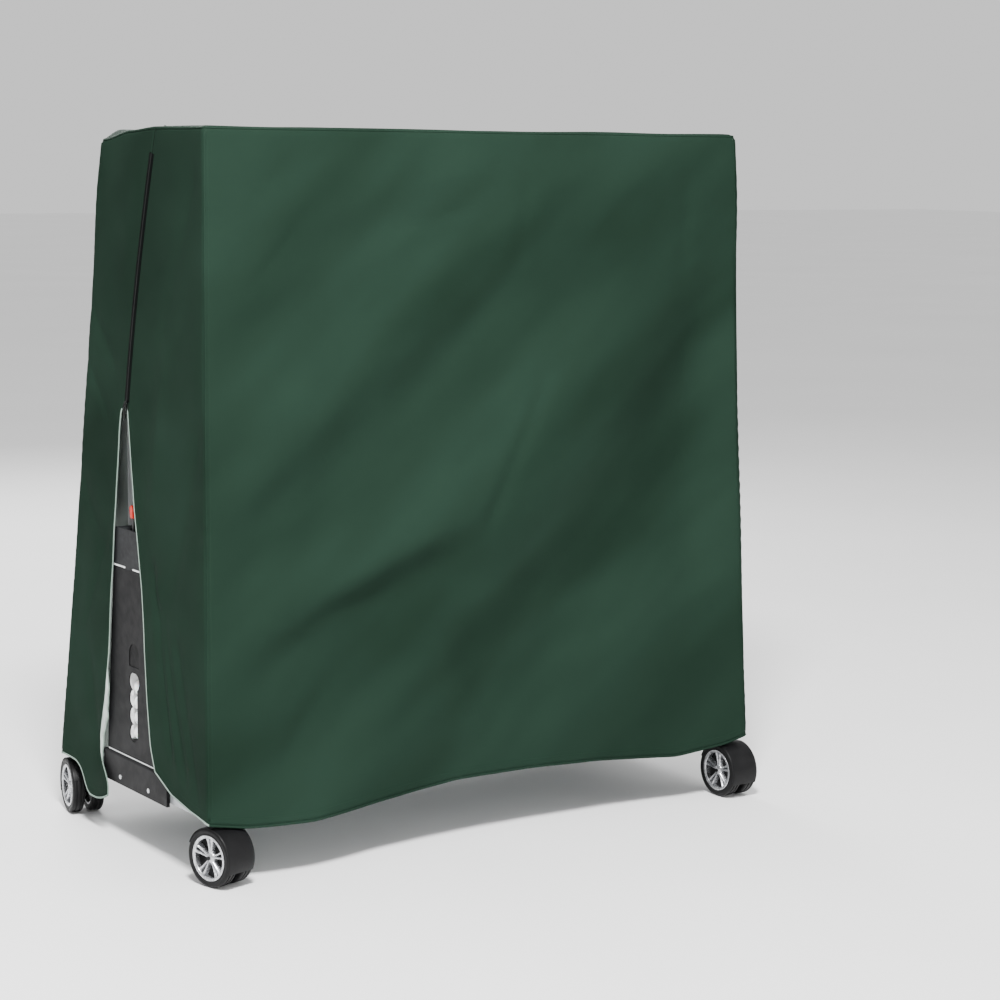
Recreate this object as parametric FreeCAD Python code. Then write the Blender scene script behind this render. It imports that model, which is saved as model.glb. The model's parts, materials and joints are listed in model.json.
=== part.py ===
import FreeCAD, Part
import math
import os

from FreeCAD import Vector

# A roll-away table-tennis table, folded up for storage under its fabric cover.
# Millimetres. +Z is up, X runs along the table's width, Y is the fold direction.
# The origin is on the floor, at the bottom centre of the whole object.
# "front" is the -Y half, "back" the +Y half, "left" the -X end, "right" the +X end.

os.makedirs("parts", exist_ok=True)

# ---- table tops and fold ----
TABLE_WIDTH = 1525.0
HALF_LENGTH = 1359.0
NET_GAP = 11.0                      # from the net's plane to the net edge of each half
SURFACE_Z = 760.0                   # height of the playing surface in play
FOLDED_Y = 150.0                    # playing surface to the middle plane when folded
PIVOT_DROP = 65.0                   # main pivot below the playing surface
PIVOT_Y = FOLDED_Y + PIVOT_DROP
PIVOT_Z = SURFACE_Z - PIVOT_DROP
HALF_BOTTOM = PIVOT_Z - (PIVOT_Y - NET_GAP)
HALF_TOP = HALF_BOTTOM + HALF_LENGTH
HALF_WIDTH = TABLE_WIDTH / 2
BOARD_THICKNESS = 19.0
EDGE_LIP = 3.0
RAIL_WIDTH = 33.0
RAIL_DEPTH = 55.0
RAIL_WALL = 1.5
CROSS_RAIL_DEPTH = 54.3
CROSS_RAIL_HALF = 15.0
SEAM = 0.3                          # gap between pieces that only rest against each other
RUNNING = 0.05                      # radial clearance of a pin in its hole
GUARD_LENGTH = 60.0
GUARD_SKIN = 3.3
GUARD_TOP = 5.5
GUARD_CORNER_R = 12.0
LUG_X0, LUG_X1 = 739.0, 745.0       # main pivot lugs on the side rails
LUG_R = 18.0
LUG_HALF = 30.0
LOWER_RAIL_Z = 900.0                # the cross rail without lugs

# ---- legs and their link rods ----
LEG_X = 650.0
LEG_HALF = 15.0
LEG_WALL = 2.0
LEG_DROP = 75.0                     # leg pivot below the playing surface
LEG_PIVOT_Z = 1440.0                # height of the leg pivot when folded
LEG_LENGTH = SURFACE_Z - LEG_DROP   # the leg reaches the floor in play
LEG_PIN_R = 8.0
FOOT_HEIGHT = 12.0
FOOT_STUD = 15.0
LEG_PLUG = 18.0
LEG_LUG_X0, LEG_LUG_X1 = 622.0, 628.0
LEG_LUG_R = 14.0
LEG_PIN_X0 = 618.0
LINK_LUG_X1 = 671.0
LINK_LUG_R = 12.0
LINK_STUB_X1 = 697.0
CROSSBAR_Z = 900.0
CROSSBAR_HALF = 12.0
FOOT_R = 20.0
STUD_R = 5.0
LINK_OUT = 20.0                     # link pivots stand this far out of the main ones
LINK_DOWN = 60.0                    # and this far below them
LINK_X0, LINK_X1 = 685.0, 693.0
LINK_HALF = 10.0
LINK_PIN_R = 6.0
OPEN_PIVOT_GAP = 0.3                # radial play of the link's far eye

# ---- chassis ----
MAIN_PIN_R = 8.0
BEAM_X0, BEAM_X1 = 790.0, 840.0
BEAM_Z0, BEAM_Z1 = 160.0, 200.0
BEAM_HALF_LENGTH = 420.0
BEAM_WALL = 2.5
POST_X0, POST_X1 = 766.0, 790.0
POST_HALF = 40.0
POST_TOP = 735.0
ARM_X0, ARM_X1 = 768.0, 776.0
CASING_X1 = 850.0
CASING_HALF = 185.0
CASING_Z0, CASING_Z1 = 150.0, 230.0
SHELL = 3.0
PANEL_X0, PANEL_X1 = 790.5, 844.0
PANEL_Z0, PANEL_Z1 = 235.0, 731.0
PANEL_HALF_BOTTOM, PANEL_HALF_TOP = 172.0, 126.0
CAP_Z0, CAP_Z1 = 738.0, 835.0
CAP_HALF_BOTTOM, CAP_HALF_TOP = 126.0, 112.0
CAP_NECK_HALF = 20.0
CAP_SLOT_HALF_X, CAP_SLOT_HALF_Y = 11.0, 26.0
PIN_START = 733.0
LINK_PIN_START = 680.0
HEAD_R, LINK_HEAD_R = 12.0, 10.0
# half of the arm plate's outline, as (y, z)
ARM_OUTLINE = [(40, 560), (232, 604), (262, 628), (262, 702), (238, 728), (40, POST_TOP)]
CROSS_TUBE_R = 15.0
CROSS_TUBE_Y = 95.0
CROSS_TUBE_Z = 180.0
SCREW_Y, SCREW_Z = 83.0, 171.0
SCREW_R, SCREW_HEAD_R = 2.5, 6.0
CROSS_LONG, CROSS_THIN = 3.5, 0.7   # halves of the cross recess's length and width

# ---- ball store ----
BALL_R = 20.0
BALL_STACK = 40.1                   # from one stored ball to the next
BALL_COUNT = 4
BALL_Y = 16.0
BALL_FIRST_Z = 301.0
BAY_PITCH = 46.0
BAY_R = 23.5
LAST_BAY_Z = BALL_FIRST_Z + (BALL_COUNT - 1) * BAY_PITCH
SLOT_EDGE_Y = -7.5
MOUTH_SHIFT = 11.5                  # the top bay is widened past the straight edge
RECESS_DEPTH = 1.5
RECESS_Y, RECESS_HALF = 9.0, 29.0
RECESS_Z0, RECESS_Z1 = 478.0, 511.0

# ---- latch ----
LATCH_X = 826.0
LATCH_Y = 35.0   # beside the middle, under the opening of the cover's slit
LATCH_Z = 800.0
LATCH_PIN_R = 4.0
LATCH_HUB_R = 10.0
GRIP_Z0 = 866.0
GRIP_OUTLINE = [(-6, GRIP_Z0), (6, GRIP_Z0), (10, 893), (2, 899), (-8, 893)]   # about the lever's middle

# ---- net ----
NET_POST_X = 772.5
NET_POST_R = 6.0
NET_BOTTOM, NET_TOP = 765.0, 912.5
NET_END_X = 766.2
NET_HALF = 1.0

# ---- casters ----
CASTER_X, CASTER_Y = 817.0, 385.0
TRAIL = 22.0
WHEEL_R = 75.0
RIM_R = 58.0
WHEEL_WIDTH = 34.0
WHEEL_CENTRE = 27.0                 # each wheel's middle from the caster's middle
AXLE_R = 5.0
FORK_HALF = 8.0
SPOKES = 5
SPOKE_LEAN = 9.0                    # degrees each arm of a spoke pair leans from its middle
SPOKE_HALF = 4.0
BAND_R, HUB_R = 52.0, 15.0
BOSS_R = 14.0
HEAD_Z, SWIVEL_HEAD_R = 151.7, 23.0
STEM_R = 6.0
CASTERS = {"front_left": (-1, -1, 14.5), "front_right": (1, -1, 0.0),
           "back_left": (-1, 1, 170.0), "back_right": (1, 1, 194.5)}

# ---- cover ----
COVER_T = 1.5
COVER_TOP = 1858.5
COVER_HEM = 170.0
TOP_X, HEM_X = 827.0, 863.0
TOP_FRONT, TOP_BACK = -365.0, 212.0
HEM_Y = 437.0
ZIP_TOP_Y = -110.0
SLIT_Y, SLIT_Z = 40.0, 1160.0
SLIT_FRONT_Y, SLIT_FRONT_Z = -118.0, 215.0
SLIT_BACK_Y = 185.0


def box(x0, x1, y0, y1, z0, z1):
    """A block between two corners, given in any order."""
    low = Vector(min(x0, x1), min(y0, y1), min(z0, z1))
    return Part.makeBox(abs(x1 - x0), abs(y1 - y0), abs(z1 - z0), low)


def tube(x0, x1, y0, y1, z0, z1, wall, along):
    """A rectangular tube, open at both ends of the axis it runs along."""
    inset = {"x": (0, wall, wall), "y": (wall, 0, wall), "z": (wall, wall, 0)}[along]
    dx, dy, dz = inset
    xa, xb = sorted((x0, x1))
    ya, yb = sorted((y0, y1))
    za, zb = sorted((z0, z1))
    hollow = box(xa + dx, xb - dx, ya + dy, yb - dy, za + dz, zb - dz)
    return box(xa, xb, ya, yb, za, zb).cut(hollow)


def pin_x(x0, x1, y, z, radius):
    """A round bar along X."""
    return Part.makeCylinder(radius, abs(x1 - x0), Vector(min(x0, x1), y, z), Vector(1, 0, 0))


def pin_z(x, y, z0, z1, radius):
    """A round bar along Z."""
    return Part.makeCylinder(radius, z1 - z0, Vector(x, y, z0))


def plate_x(points, x0, x1):
    """A flat plate across X, from an outline of (y, z) points."""
    low = min(x0, x1)
    corners = [Vector(low, y, z) for y, z in points]
    face = Part.Face(Part.makePolygon(corners + corners[:1]))
    return face.extrude(Vector(abs(x1 - x0), 0, 0))


def join(*shapes):
    """One solid from pieces that are welded or moulded together."""
    whole = shapes[0]
    for shape in shapes[1:]:
        whole = whole.fuse(shape)
    return whole.removeSplitter()


def save(node, *solids):
    """Writes one node; alike pieces that share it stay separate solids."""
    shape = solids[0] if len(solids) == 1 else Part.makeCompound(solids)
    shape.exportStep("parts/" + node + ".step")
    count = len(shape.Solids)
    print(node, "solids", count, "valid", shape.isValid(), "cm3", round(shape.Volume / 1000, 1))


def below(side, depth):
    """Y of a point so far under the playing surface of a folded half."""
    return side * (FOLDED_Y + depth)


# ---------------------------------------------------------------- table halves

def board(side):
    edge = EDGE_LIP + SEAM
    return box(-HALF_WIDTH + edge, HALF_WIDTH - edge, below(side, 0), below(side, BOARD_THICKNESS),
               HALF_BOTTOM + edge, HALF_TOP - edge)


def side_rail(side, end):
    """Edge rail along one long side, with the lug that carries the main pivot."""
    outer = end * HALF_WIDTH
    under = BOARD_THICKNESS + SEAM
    lip = box(outer, outer - end * EDGE_LIP, below(side, 0), below(side, under), HALF_BOTTOM, HALF_TOP)
    rail = tube(outer, outer - end * RAIL_WIDTH, below(side, under), below(side, RAIL_DEPTH),
                HALF_BOTTOM, HALF_TOP, RAIL_WALL, "z")
    x0, x1 = end * LUG_X0, end * LUG_X1
    z0, z1 = PIVOT_Z - LUG_HALF, PIVOT_Z + LUG_HALF
    neck = box(x0, x1, below(side, RAIL_DEPTH), below(side, PIVOT_DROP), z0, z1)
    rail_room = box(x0, x1, below(side, 0), below(side, RAIL_DEPTH), z0, z1)
    eye = pin_x(x0, x1, side * PIVOT_Y, PIVOT_Z, LUG_R).cut(rail_room)
    hole = pin_x(x0 - end, x1 + end, side * PIVOT_Y, PIVOT_Z, MAIN_PIN_R + RUNNING)
    return join(lip, rail, neck, eye).cut(hole)


def end_rail(side, far):
    """Edge rail across the width: at the far end, or at the net."""
    edge = HALF_TOP if far else HALF_BOTTOM
    inward = -1 if far else 1
    half = HALF_WIDTH - RAIL_WIDTH - SEAM
    under = BOARD_THICKNESS + SEAM
    lip = box(-half, half, below(side, 0), below(side, under), edge, edge + inward * EDGE_LIP)
    rail = tube(-half, half, below(side, under), below(side, RAIL_DEPTH),
                edge, edge + inward * RAIL_WIDTH, RAIL_WALL, "x")
    return join(lip, rail)


def cross_rail(side, z, with_lugs):
    """Stiffener under the board; the upper one carries the leg pivots."""
    half = HALF_WIDTH - RAIL_WIDTH - SEAM
    rail = tube(-half, half, below(side, BOARD_THICKNESS + SEAM), below(side, CROSS_RAIL_DEPTH),
                z - CROSS_RAIL_HALF, z + CROSS_RAIL_HALF, RAIL_WALL, "x")
    if not with_lugs:
        return rail
    y = below(side, LEG_DROP)
    for end in (-1, 1):
        x0, x1 = end * LEG_LUG_X0, end * LEG_LUG_X1
        neck = box(x0, x1, below(side, CROSS_RAIL_DEPTH), y, z - LEG_LUG_R, z + LEG_LUG_R)
        eye = pin_x(x0, x1, y, z, LEG_LUG_R)
        hole = pin_x(x0 - end, x1 + end, y, z, LEG_PIN_R + RUNNING)
        rail = join(rail, neck, eye).cut(hole)
    return rail


def corner_guard(side, end):
    """Soft guard that wraps a far corner outside, on top and underneath."""
    inner_x = end * (HALF_WIDTH - GUARD_LENGTH)
    outer_x = end * (HALF_WIDTH + GUARD_SKIN)
    low, high = HALF_TOP - GUARD_LENGTH, HALF_TOP + GUARD_TOP
    near, far = below(side, 0.6), below(side, RAIL_DEPTH + 2.5)
    block = box(inner_x, outer_x, near, far, low, high)
    bend_x, bend_z = outer_x - end * GUARD_CORNER_R, high - GUARD_CORNER_R
    rounded = Part.makeCylinder(GUARD_CORNER_R, abs(far - near) + 2, Vector(bend_x, near - side, bend_z),
                                Vector(0, side, 0))
    square = box(bend_x, outer_x + end, near - side, far + side, bend_z, high + 1)
    room = box(inner_x - end, end * (HALF_WIDTH + 0.2), below(side, 0), below(side, RAIL_DEPTH + 0.2),
               low - 1, HALF_TOP + 0.2)
    return block.cut(square.cut(rounded)).cut(room)


def build_half(name, side):
    save(name + "_board", board(side))
    save(name + "_side_rails", side_rail(side, -1), side_rail(side, 1))
    save(name + "_end_rails", end_rail(side, True), end_rail(side, False))
    save(name + "_cross_rails", cross_rail(side, LEG_PIVOT_Z, True), cross_rail(side, LOWER_RAIL_Z, False))
    save(name + "_corner_guards", corner_guard(side, -1), corner_guard(side, 1))


# ---------------------------------------------------------------- legs

def leg_tube(side, end):
    """One leg with its pivot pin at the top and the lug and pin for the link rod."""
    x0, x1 = end * (LEG_X - LEG_HALF), end * (LEG_X + LEG_HALF)
    y = below(side, LEG_DROP)
    bottom = LEG_PIVOT_Z - LEG_LENGTH + FOOT_HEIGHT + FOOT_STUD
    body = box(x0, x1, y - LEG_HALF, y + LEG_HALF, bottom, LEG_PIVOT_Z)
    crown = pin_x(x0, x1, y, LEG_PIVOT_Z, LEG_HALF)
    inner = LEG_HALF - LEG_WALL
    hollow = box(end * (LEG_X - inner), end * (LEG_X + inner), y - inner, y + inner,
                 bottom + LEG_PLUG, LEG_PIVOT_Z - LEG_HALF)
    stud_hole = pin_z(end * LEG_X, y, bottom - 1, bottom + LEG_PLUG + 1, STUD_R + RUNNING)
    pivot = pin_x(end * LEG_PIN_X0, x0, y, LEG_PIVOT_Z, LEG_PIN_R)
    link_y, link_z = y + side * LINK_OUT, LEG_PIVOT_Z - LINK_DOWN
    lug_x1 = end * LINK_LUG_X1
    lug = join(pin_x(x1, lug_x1, link_y, link_z, LINK_LUG_R),
               box(x1, lug_x1, y, link_y, link_z - LINK_LUG_R, link_z + LINK_LUG_R))
    stub = pin_x(lug_x1, end * LINK_STUB_X1, link_y, link_z, LINK_PIN_R)
    return join(join(body, crown).cut(hollow).cut(stud_hole), pivot, lug, stub)


def leg_foot(side, end):
    """Adjustable foot: a glide and its threaded stud."""
    y = below(side, LEG_DROP)
    bottom = LEG_PIVOT_Z - LEG_LENGTH
    glide = pin_z(end * LEG_X, y, bottom, bottom + FOOT_HEIGHT, FOOT_R)
    base = bottom + FOOT_HEIGHT
    stud = pin_z(end * LEG_X, y, base, base + FOOT_STUD + LEG_PLUG + 6, STUD_R)
    return join(glide, stud)


def leg_crossbar(side):
    y = below(side, LEG_DROP)
    end = LEG_X - LEG_HALF
    return tube(-end, end, y - CROSSBAR_HALF, y + CROSSBAR_HALF, CROSSBAR_Z - CROSSBAR_HALF,
                CROSSBAR_Z + CROSSBAR_HALF, LEG_WALL, "x")


def link_rod(side, end):
    """Flat bar that keeps the leg upright while its half swings."""
    y0 = side * (PIVOT_Y + LINK_OUT)
    z0 = PIVOT_Z - LINK_DOWN
    y1 = below(side, LEG_DROP) + side * LINK_OUT
    z1 = LEG_PIVOT_Z - LINK_DOWN
    x0, x1 = end * LINK_X0, end * LINK_X1
    outline = [(y0 - LINK_HALF, z0), (y0 + LINK_HALF, z0), (y1 + LINK_HALF, z1), (y1 - LINK_HALF, z1)]
    bar = plate_x(outline, x0, x1)
    rod = join(bar, pin_x(x0, x1, y0, z0, LINK_HALF), pin_x(x0, x1, y1, z1, LINK_HALF))
    near_hole = pin_x(x0 - end, x1 + end, y0, z0, LINK_PIN_R + RUNNING)
    far_hole = pin_x(x0 - end, x1 + end, y1, z1, LINK_PIN_R + OPEN_PIVOT_GAP)
    return rod.cut(near_hole).cut(far_hole)


def build_leg(name, side):
    save(name + "_leg_tubes", leg_tube(side, -1), leg_tube(side, 1))
    save(name + "_leg_crossbar", leg_crossbar(side))
    save(name + "_leg_feet", leg_foot(side, -1), leg_foot(side, 1))
    save(name + "_link_rods", link_rod(side, -1), link_rod(side, 1))


# ---------------------------------------------------------------- chassis

def base_beam(end):
    """Beam along Y that carries a tower and two casters."""
    x0, x1 = end * BEAM_X0, end * BEAM_X1
    beam = tube(x0, x1, -BEAM_HALF_LENGTH, BEAM_HALF_LENGTH, BEAM_Z0, BEAM_Z1, BEAM_WALL, "y")
    ends = []
    for side in (-1, 1):
        ends.append(box(x0, x1, side * (CASTER_Y - 25), side * BEAM_HALF_LENGTH, BEAM_Z0, BEAM_Z1))
    beam = join(beam, *ends)
    for side in (-1, 1):
        beam = beam.cut(pin_z(end * CASTER_X, side * CASTER_Y, BEAM_Z0 - 1, BEAM_Z1 - 4, STEM_R + RUNNING))
    return beam


def base_casing(end):
    """Moulded shell over the middle of the beam."""
    shell = box(end * PANEL_X0, end * CASING_X1, -CASING_HALF, CASING_HALF, CASING_Z0, CASING_Z1)
    upper = []
    for edge in shell.Edges:
        if edge.BoundBox.ZMin > CASING_Z1 - 1 and abs(edge.BoundBox.Center.x) > PANEL_X0 + 1:
            upper.append(edge)
    rounded = shell.makeFillet(6, upper)
    hollow = box(end * (PANEL_X0 - 1), end * (CASING_X1 - SHELL), -CASING_HALF + SHELL, CASING_HALF - SHELL,
                 CASING_Z0 - 1, CASING_Z1 - SHELL)
    passage = box(end * (BEAM_X0 - 1), end * (BEAM_X1 + 1), -CASING_HALF - 1, CASING_HALF + 1,
                  CASING_Z0 - 1, BEAM_Z1 + 1)
    casing = rounded.cut(hollow).cut(passage)
    for y in (-SCREW_Y, SCREW_Y):
        casing = casing.cut(pin_x(end * (CASING_X1 - 5), end * (CASING_X1 + 1), y, SCREW_Z, SCREW_R + 0.1))
    return casing


def casing_screw(end, y):
    head = pin_x(end * CASING_X1, end * (CASING_X1 + 2.5), y, SCREW_Z, SCREW_HEAD_R)
    x0, x1 = end * (CASING_X1 + 1.2), end * (CASING_X1 + 3)
    level = box(x0, x1, y - CROSS_LONG, y + CROSS_LONG, SCREW_Z - CROSS_THIN, SCREW_Z + CROSS_THIN)
    upright = box(x0, x1, y - CROSS_THIN, y + CROSS_THIN, SCREW_Z - CROSS_LONG, SCREW_Z + CROSS_LONG)
    shank = pin_x(end * (BEAM_X1 + 1), end * CASING_X1, y, SCREW_Z, SCREW_R)
    return join(head, shank).cut(join(level, upright))


def tower_frame(end):
    """Steel post with the arms that hold the main pivots and the link pivots."""
    x0, x1 = end * POST_X0, end * POST_X1
    wall = RAIL_WALL + 1
    post = tube(x0, x1, -POST_HALF, POST_HALF, BEAM_Z0, POST_TOP, wall, "z")
    outline = ARM_OUTLINE + [(-y, z) for y, z in reversed(ARM_OUTLINE)]
    room = box(x0 + end * wall, x1 - end * wall, -POST_HALF + wall, POST_HALF - wall, BEAM_Z0, POST_TOP - 4)
    frame = join(post, plate_x(outline, end * ARM_X0, end * ARM_X1)).cut(room)
    frame = join(frame, box(x0, x1, -POST_HALF, POST_HALF, POST_TOP - 4, POST_TOP))
    hole_x0, hole_x1 = end * (ARM_X0 - 1), end * (ARM_X1 + 1)
    for side in (-1, 1):
        link_y = side * (PIVOT_Y + LINK_OUT)
        frame = frame.cut(pin_x(hole_x0, hole_x1, side * PIVOT_Y, PIVOT_Z, MAIN_PIN_R + RUNNING))
        frame = frame.cut(pin_x(hole_x0, hole_x1, link_y, PIVOT_Z - LINK_DOWN, LINK_PIN_R + RUNNING))
    return frame


def tapered(half_low, half_high, z0, z1, x0, x1):
    """A block that narrows in Y as it rises."""
    return plate_x([(-half_low, z0), (half_low, z0), (half_high, z1), (-half_high, z1)], x0, x1)


def slot_cutter(end, x0, x1):
    """Scalloped slot: a rounded bay for each ball, a straight edge opposite and a wider mouth on top."""
    x0, x1 = end * x0, end * x1
    cutter = box(x0, x1, SLOT_EDGE_Y, BALL_Y, BALL_FIRST_Z - 12, LAST_BAY_Z)
    for index in range(BALL_COUNT):
        cutter = cutter.fuse(pin_x(x0, x1, BALL_Y, BALL_FIRST_Z + index * BAY_PITCH, BAY_R))
    cutter = cutter.fuse(pin_x(x0, x1, BALL_Y - MOUTH_SHIFT, LAST_BAY_Z, BAY_R))
    return cutter.removeSplitter()


def tower_panel(end):
    """Moulded tower shell with the ball slot and a shallow arched recess above it."""
    outer = tapered(PANEL_HALF_BOTTOM, PANEL_HALF_TOP, PANEL_Z0, PANEL_Z1, end * PANEL_X0, end * PANEL_X1)
    inner = tapered(PANEL_HALF_BOTTOM - SHELL, PANEL_HALF_TOP - SHELL, PANEL_Z0 + SHELL, PANEL_Z1 - SHELL,
                    end * (PANEL_X0 - 1), end * (PANEL_X1 - SHELL))
    panel = outer.cut(inner).cut(slot_cutter(end, PANEL_X1 - SHELL - 1, PANEL_X1 + 1))
    floor_x, face_x = end * (PANEL_X1 - RECESS_DEPTH), end * (PANEL_X1 + 1)
    arch = join(box(floor_x, face_x, RECESS_Y - RECESS_HALF, RECESS_Y + RECESS_HALF, RECESS_Z0, RECESS_Z1),
                pin_x(floor_x, face_x, RECESS_Y, RECESS_Z1, RECESS_HALF))
    ledge_top = BALL_FIRST_Z - BALL_R - SEAM
    ledge = box(end * (PANEL_X0 + 12), end * (PANEL_X1 - SHELL), BALL_Y - 25, BALL_Y + 25,
                ledge_top - 4, ledge_top)
    return join(panel.cut(arch), ledge)


def tower_cap(end):
    """Cap over the latch, with a slot in its top and the latch's axle inside."""
    outer = tapered(CAP_HALF_BOTTOM, CAP_HALF_TOP, CAP_Z0, CAP_Z1, end * PANEL_X0, end * PANEL_X1)
    inner = tapered(CAP_HALF_BOTTOM - SHELL, CAP_HALF_TOP - SHELL, CAP_Z0 - 1, CAP_Z1 - SHELL,
                    end * (PANEL_X0 + SHELL), end * (PANEL_X1 - SHELL))
    slot = box(end * (LATCH_X - CAP_SLOT_HALF_X), end * (LATCH_X + CAP_SLOT_HALF_X), LATCH_Y - CAP_SLOT_HALF_Y,
               LATCH_Y + CAP_SLOT_HALF_Y, CAP_Z1 - SHELL - 1, CAP_Z1 + 1)
    axle = pin_x(end * (PANEL_X0 + 1), end * (PANEL_X1 - 1), LATCH_Y, LATCH_Z, LATCH_PIN_R)
    neck = box(end * (PANEL_X1 - 8), end * PANEL_X1, LATCH_Y - CAP_NECK_HALF, LATCH_Y + CAP_NECK_HALF,
               PANEL_Z1 + SEAM, CAP_Z0 + 3)
    return join(outer.cut(inner).cut(slot), axle, neck)


def latch_lever(end):
    """Rocker that frees one half or the other; its grip is above the cap."""
    hub = pin_x(end * (LATCH_X - 8), end * (LATCH_X + 8), LATCH_Y, LATCH_Z, LATCH_HUB_R)
    arm = box(end * (LATCH_X - 5), end * (LATCH_X + 5), LATCH_Y - 5, LATCH_Y + 5, LATCH_Z, GRIP_Z0 + 8)
    outline = [(LATCH_Y + y, z) for y, z in GRIP_OUTLINE]
    grip = plate_x(outline, end * (LATCH_X - 9), end * (LATCH_X + 9))
    bore = pin_x(end * (LATCH_X - 9), end * (LATCH_X + 9), LATCH_Y, LATCH_Z, LATCH_PIN_R + RUNNING)
    return join(hub, arm, grip).cut(bore)


def headed_pin(x0, end, y, z, radius, head_radius, head):
    """A pin through an arm, with a round head outside it."""
    shank = pin_x(end * x0, end * (ARM_X1 + 4), y, z, radius)
    return join(shank, pin_x(end * (ARM_X1 + 1), end * (ARM_X1 + head), y, z, head_radius))


def hinge_pins():
    """Main pivot pins and link pivot pins."""
    pins = []
    for end in (-1, 1):
        for side in (-1, 1):
            link_y, link_z = side * (PIVOT_Y + LINK_OUT), PIVOT_Z - LINK_DOWN
            pins.append(headed_pin(PIN_START, end, side * PIVOT_Y, PIVOT_Z, MAIN_PIN_R, HEAD_R, 6))
            pins.append(headed_pin(LINK_PIN_START, end, link_y, link_z, LINK_PIN_R, LINK_HEAD_R, 5))
    return pins


def cross_tube(side):
    outer = pin_x(-BEAM_X0, BEAM_X0, side * CROSS_TUBE_Y, CROSS_TUBE_Z, CROSS_TUBE_R)
    return outer.cut(pin_x(-BEAM_X0, BEAM_X0, side * CROSS_TUBE_Y, CROSS_TUBE_Z, CROSS_TUBE_R - 2))


def net_post(end):
    post = pin_z(end * NET_POST_X, 0, POST_TOP, NET_TOP + 5, NET_POST_R)
    knob = Part.makeSphere(8, Vector(end * NET_POST_X, 0, NET_TOP + 8))
    flange = pin_z(end * (NET_POST_X + 2), 0, POST_TOP, POST_TOP + 5, 7.5)
    return join(post, knob, flange)


def spare_balls():
    x = -(PANEL_X1 - SHELL - BALL_R - 0.7)
    balls = []
    for index in range(BALL_COUNT):
        balls.append(Part.makeSphere(BALL_R, Vector(x, BALL_Y, BALL_FIRST_Z + index * BALL_STACK)))
    return balls


def build_chassis():
    save("base_beams", base_beam(-1), base_beam(1))
    save("base_casings", base_casing(-1), base_casing(1))
    save("casing_screws", *[casing_screw(end, y) for end in (-1, 1) for y in (-SCREW_Y, SCREW_Y)])
    save("cross_tubes", cross_tube(-1), cross_tube(1))
    for name, end in (("left", -1), ("right", 1)):
        save("tower_frame_" + name, tower_frame(end))
        save("tower_panel_" + name, tower_panel(end))
        save("latch_lever_" + name, latch_lever(end))
    save("tower_caps", tower_cap(-1), tower_cap(1))
    save("hinge_pins", *hinge_pins())
    save("net_posts", net_post(-1), net_post(1))
    save("net", box(-NET_END_X, NET_END_X, -NET_HALF, NET_HALF, NET_BOTTOM, NET_TOP))
    save("spare_balls", *spare_balls())


# ---------------------------------------------------------------- casters

def place(shape, name):
    """Turns a caster piece to its resting heading and moves it under the beam."""
    end, side, heading = CASTERS[name]
    shape.rotate(Vector(0, 0, 0), Vector(0, 0, 1), heading)
    shape.translate(Vector(end * CASTER_X, side * CASTER_Y, 0))
    return shape


def wheel_ring(profile, middle):
    """Turns an outline of (offset, radius) points about the axle."""
    points = [Vector(middle + offset, -TRAIL, WHEEL_R + radius) for offset, radius in profile]
    face = Part.Face(Part.makePolygon(points + points[:1]))
    return face.revolve(Vector(0, -TRAIL, WHEEL_R), Vector(1, 0, 0), 360)


def tyre(middle):
    half = WHEEL_WIDTH / 2
    profile = [(-half, RIM_R + 0.1), (-half, 68), (-half + 3, 73), (-half + 7, WHEEL_R),
               (half - 7, WHEEL_R), (half - 3, 73), (half, 68), (half, RIM_R + 0.1)]
    return wheel_ring(profile, middle)


def rim(middle, outward):
    """Spoked wheel centre: band, spokes near the outer face and hub."""
    half = WHEEL_WIDTH / 2 - 2
    bore = AXLE_R + RUNNING
    band = wheel_ring([(-half, BAND_R), (half, BAND_R), (half, RIM_R), (-half, RIM_R)], middle)
    hub = wheel_ring([(-half, bore), (half, bore), (half, HUB_R), (-half, HUB_R)], middle)
    face_x = middle + outward * (half - 7)
    spokes = []
    for index in range(SPOKES):
        for lean in (-SPOKE_LEAN, SPOKE_LEAN):
            arm = box(face_x - SPOKE_HALF, face_x + SPOKE_HALF, -TRAIL - SPOKE_HALF, -TRAIL + SPOKE_HALF,
                      WHEEL_R + HUB_R - 4, WHEEL_R + BAND_R + 2)
            arm.rotate(Vector(face_x, -TRAIL, WHEEL_R), Vector(1, 0, 0), 360.0 * index / SPOKES + lean)
            spokes.append(arm)
    return join(band, hub, *spokes)


def fork():
    """Middle leg between the twin wheels, swivel head, stem and axle."""
    outline = [(-TRAIL - 13, 68), (-TRAIL - 13, 84), (-20, HEAD_Z), (20, HEAD_Z), (20, 140),
               (-TRAIL + 13, 66)]
    leg = plate_x(outline, -FORK_HALF, FORK_HALF)
    boss = pin_x(-FORK_HALF, FORK_HALF, -TRAIL, WHEEL_R, BOSS_R)
    head = pin_z(0, 0, HEAD_Z, BEAM_Z0 - SEAM, SWIVEL_HEAD_R)
    stem = pin_z(0, 0, BEAM_Z0 - SEAM, BEAM_Z1 - 8, STEM_R)
    reach = WHEEL_CENTRE + WHEEL_WIDTH / 2 - 1
    axle = pin_x(-reach, reach, -TRAIL, WHEEL_R, AXLE_R)
    return join(leg, boss, head, stem, axle)


def build_casters():
    for name in CASTERS:
        outward = 1 if CASTERS[name][0] * math.cos(math.radians(CASTERS[name][2])) > 0 else -1
        save("fork_" + name, place(fork(), name))
        for which, sign in (("outer", outward), ("inner", -outward)):
            save("tyre_" + which + "_" + name, place(tyre(sign * WHEEL_CENTRE), name))
            save("rim_" + which + "_" + name, place(rim(sign * WHEEL_CENTRE, sign), name))


# ---------------------------------------------------------------- cover

def cover_x(z, inset):
    """Half-length of the cover at a height."""
    share = (COVER_TOP - z) / (COVER_TOP - COVER_HEM)
    return TOP_X + share * (HEM_X - TOP_X) - inset


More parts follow.
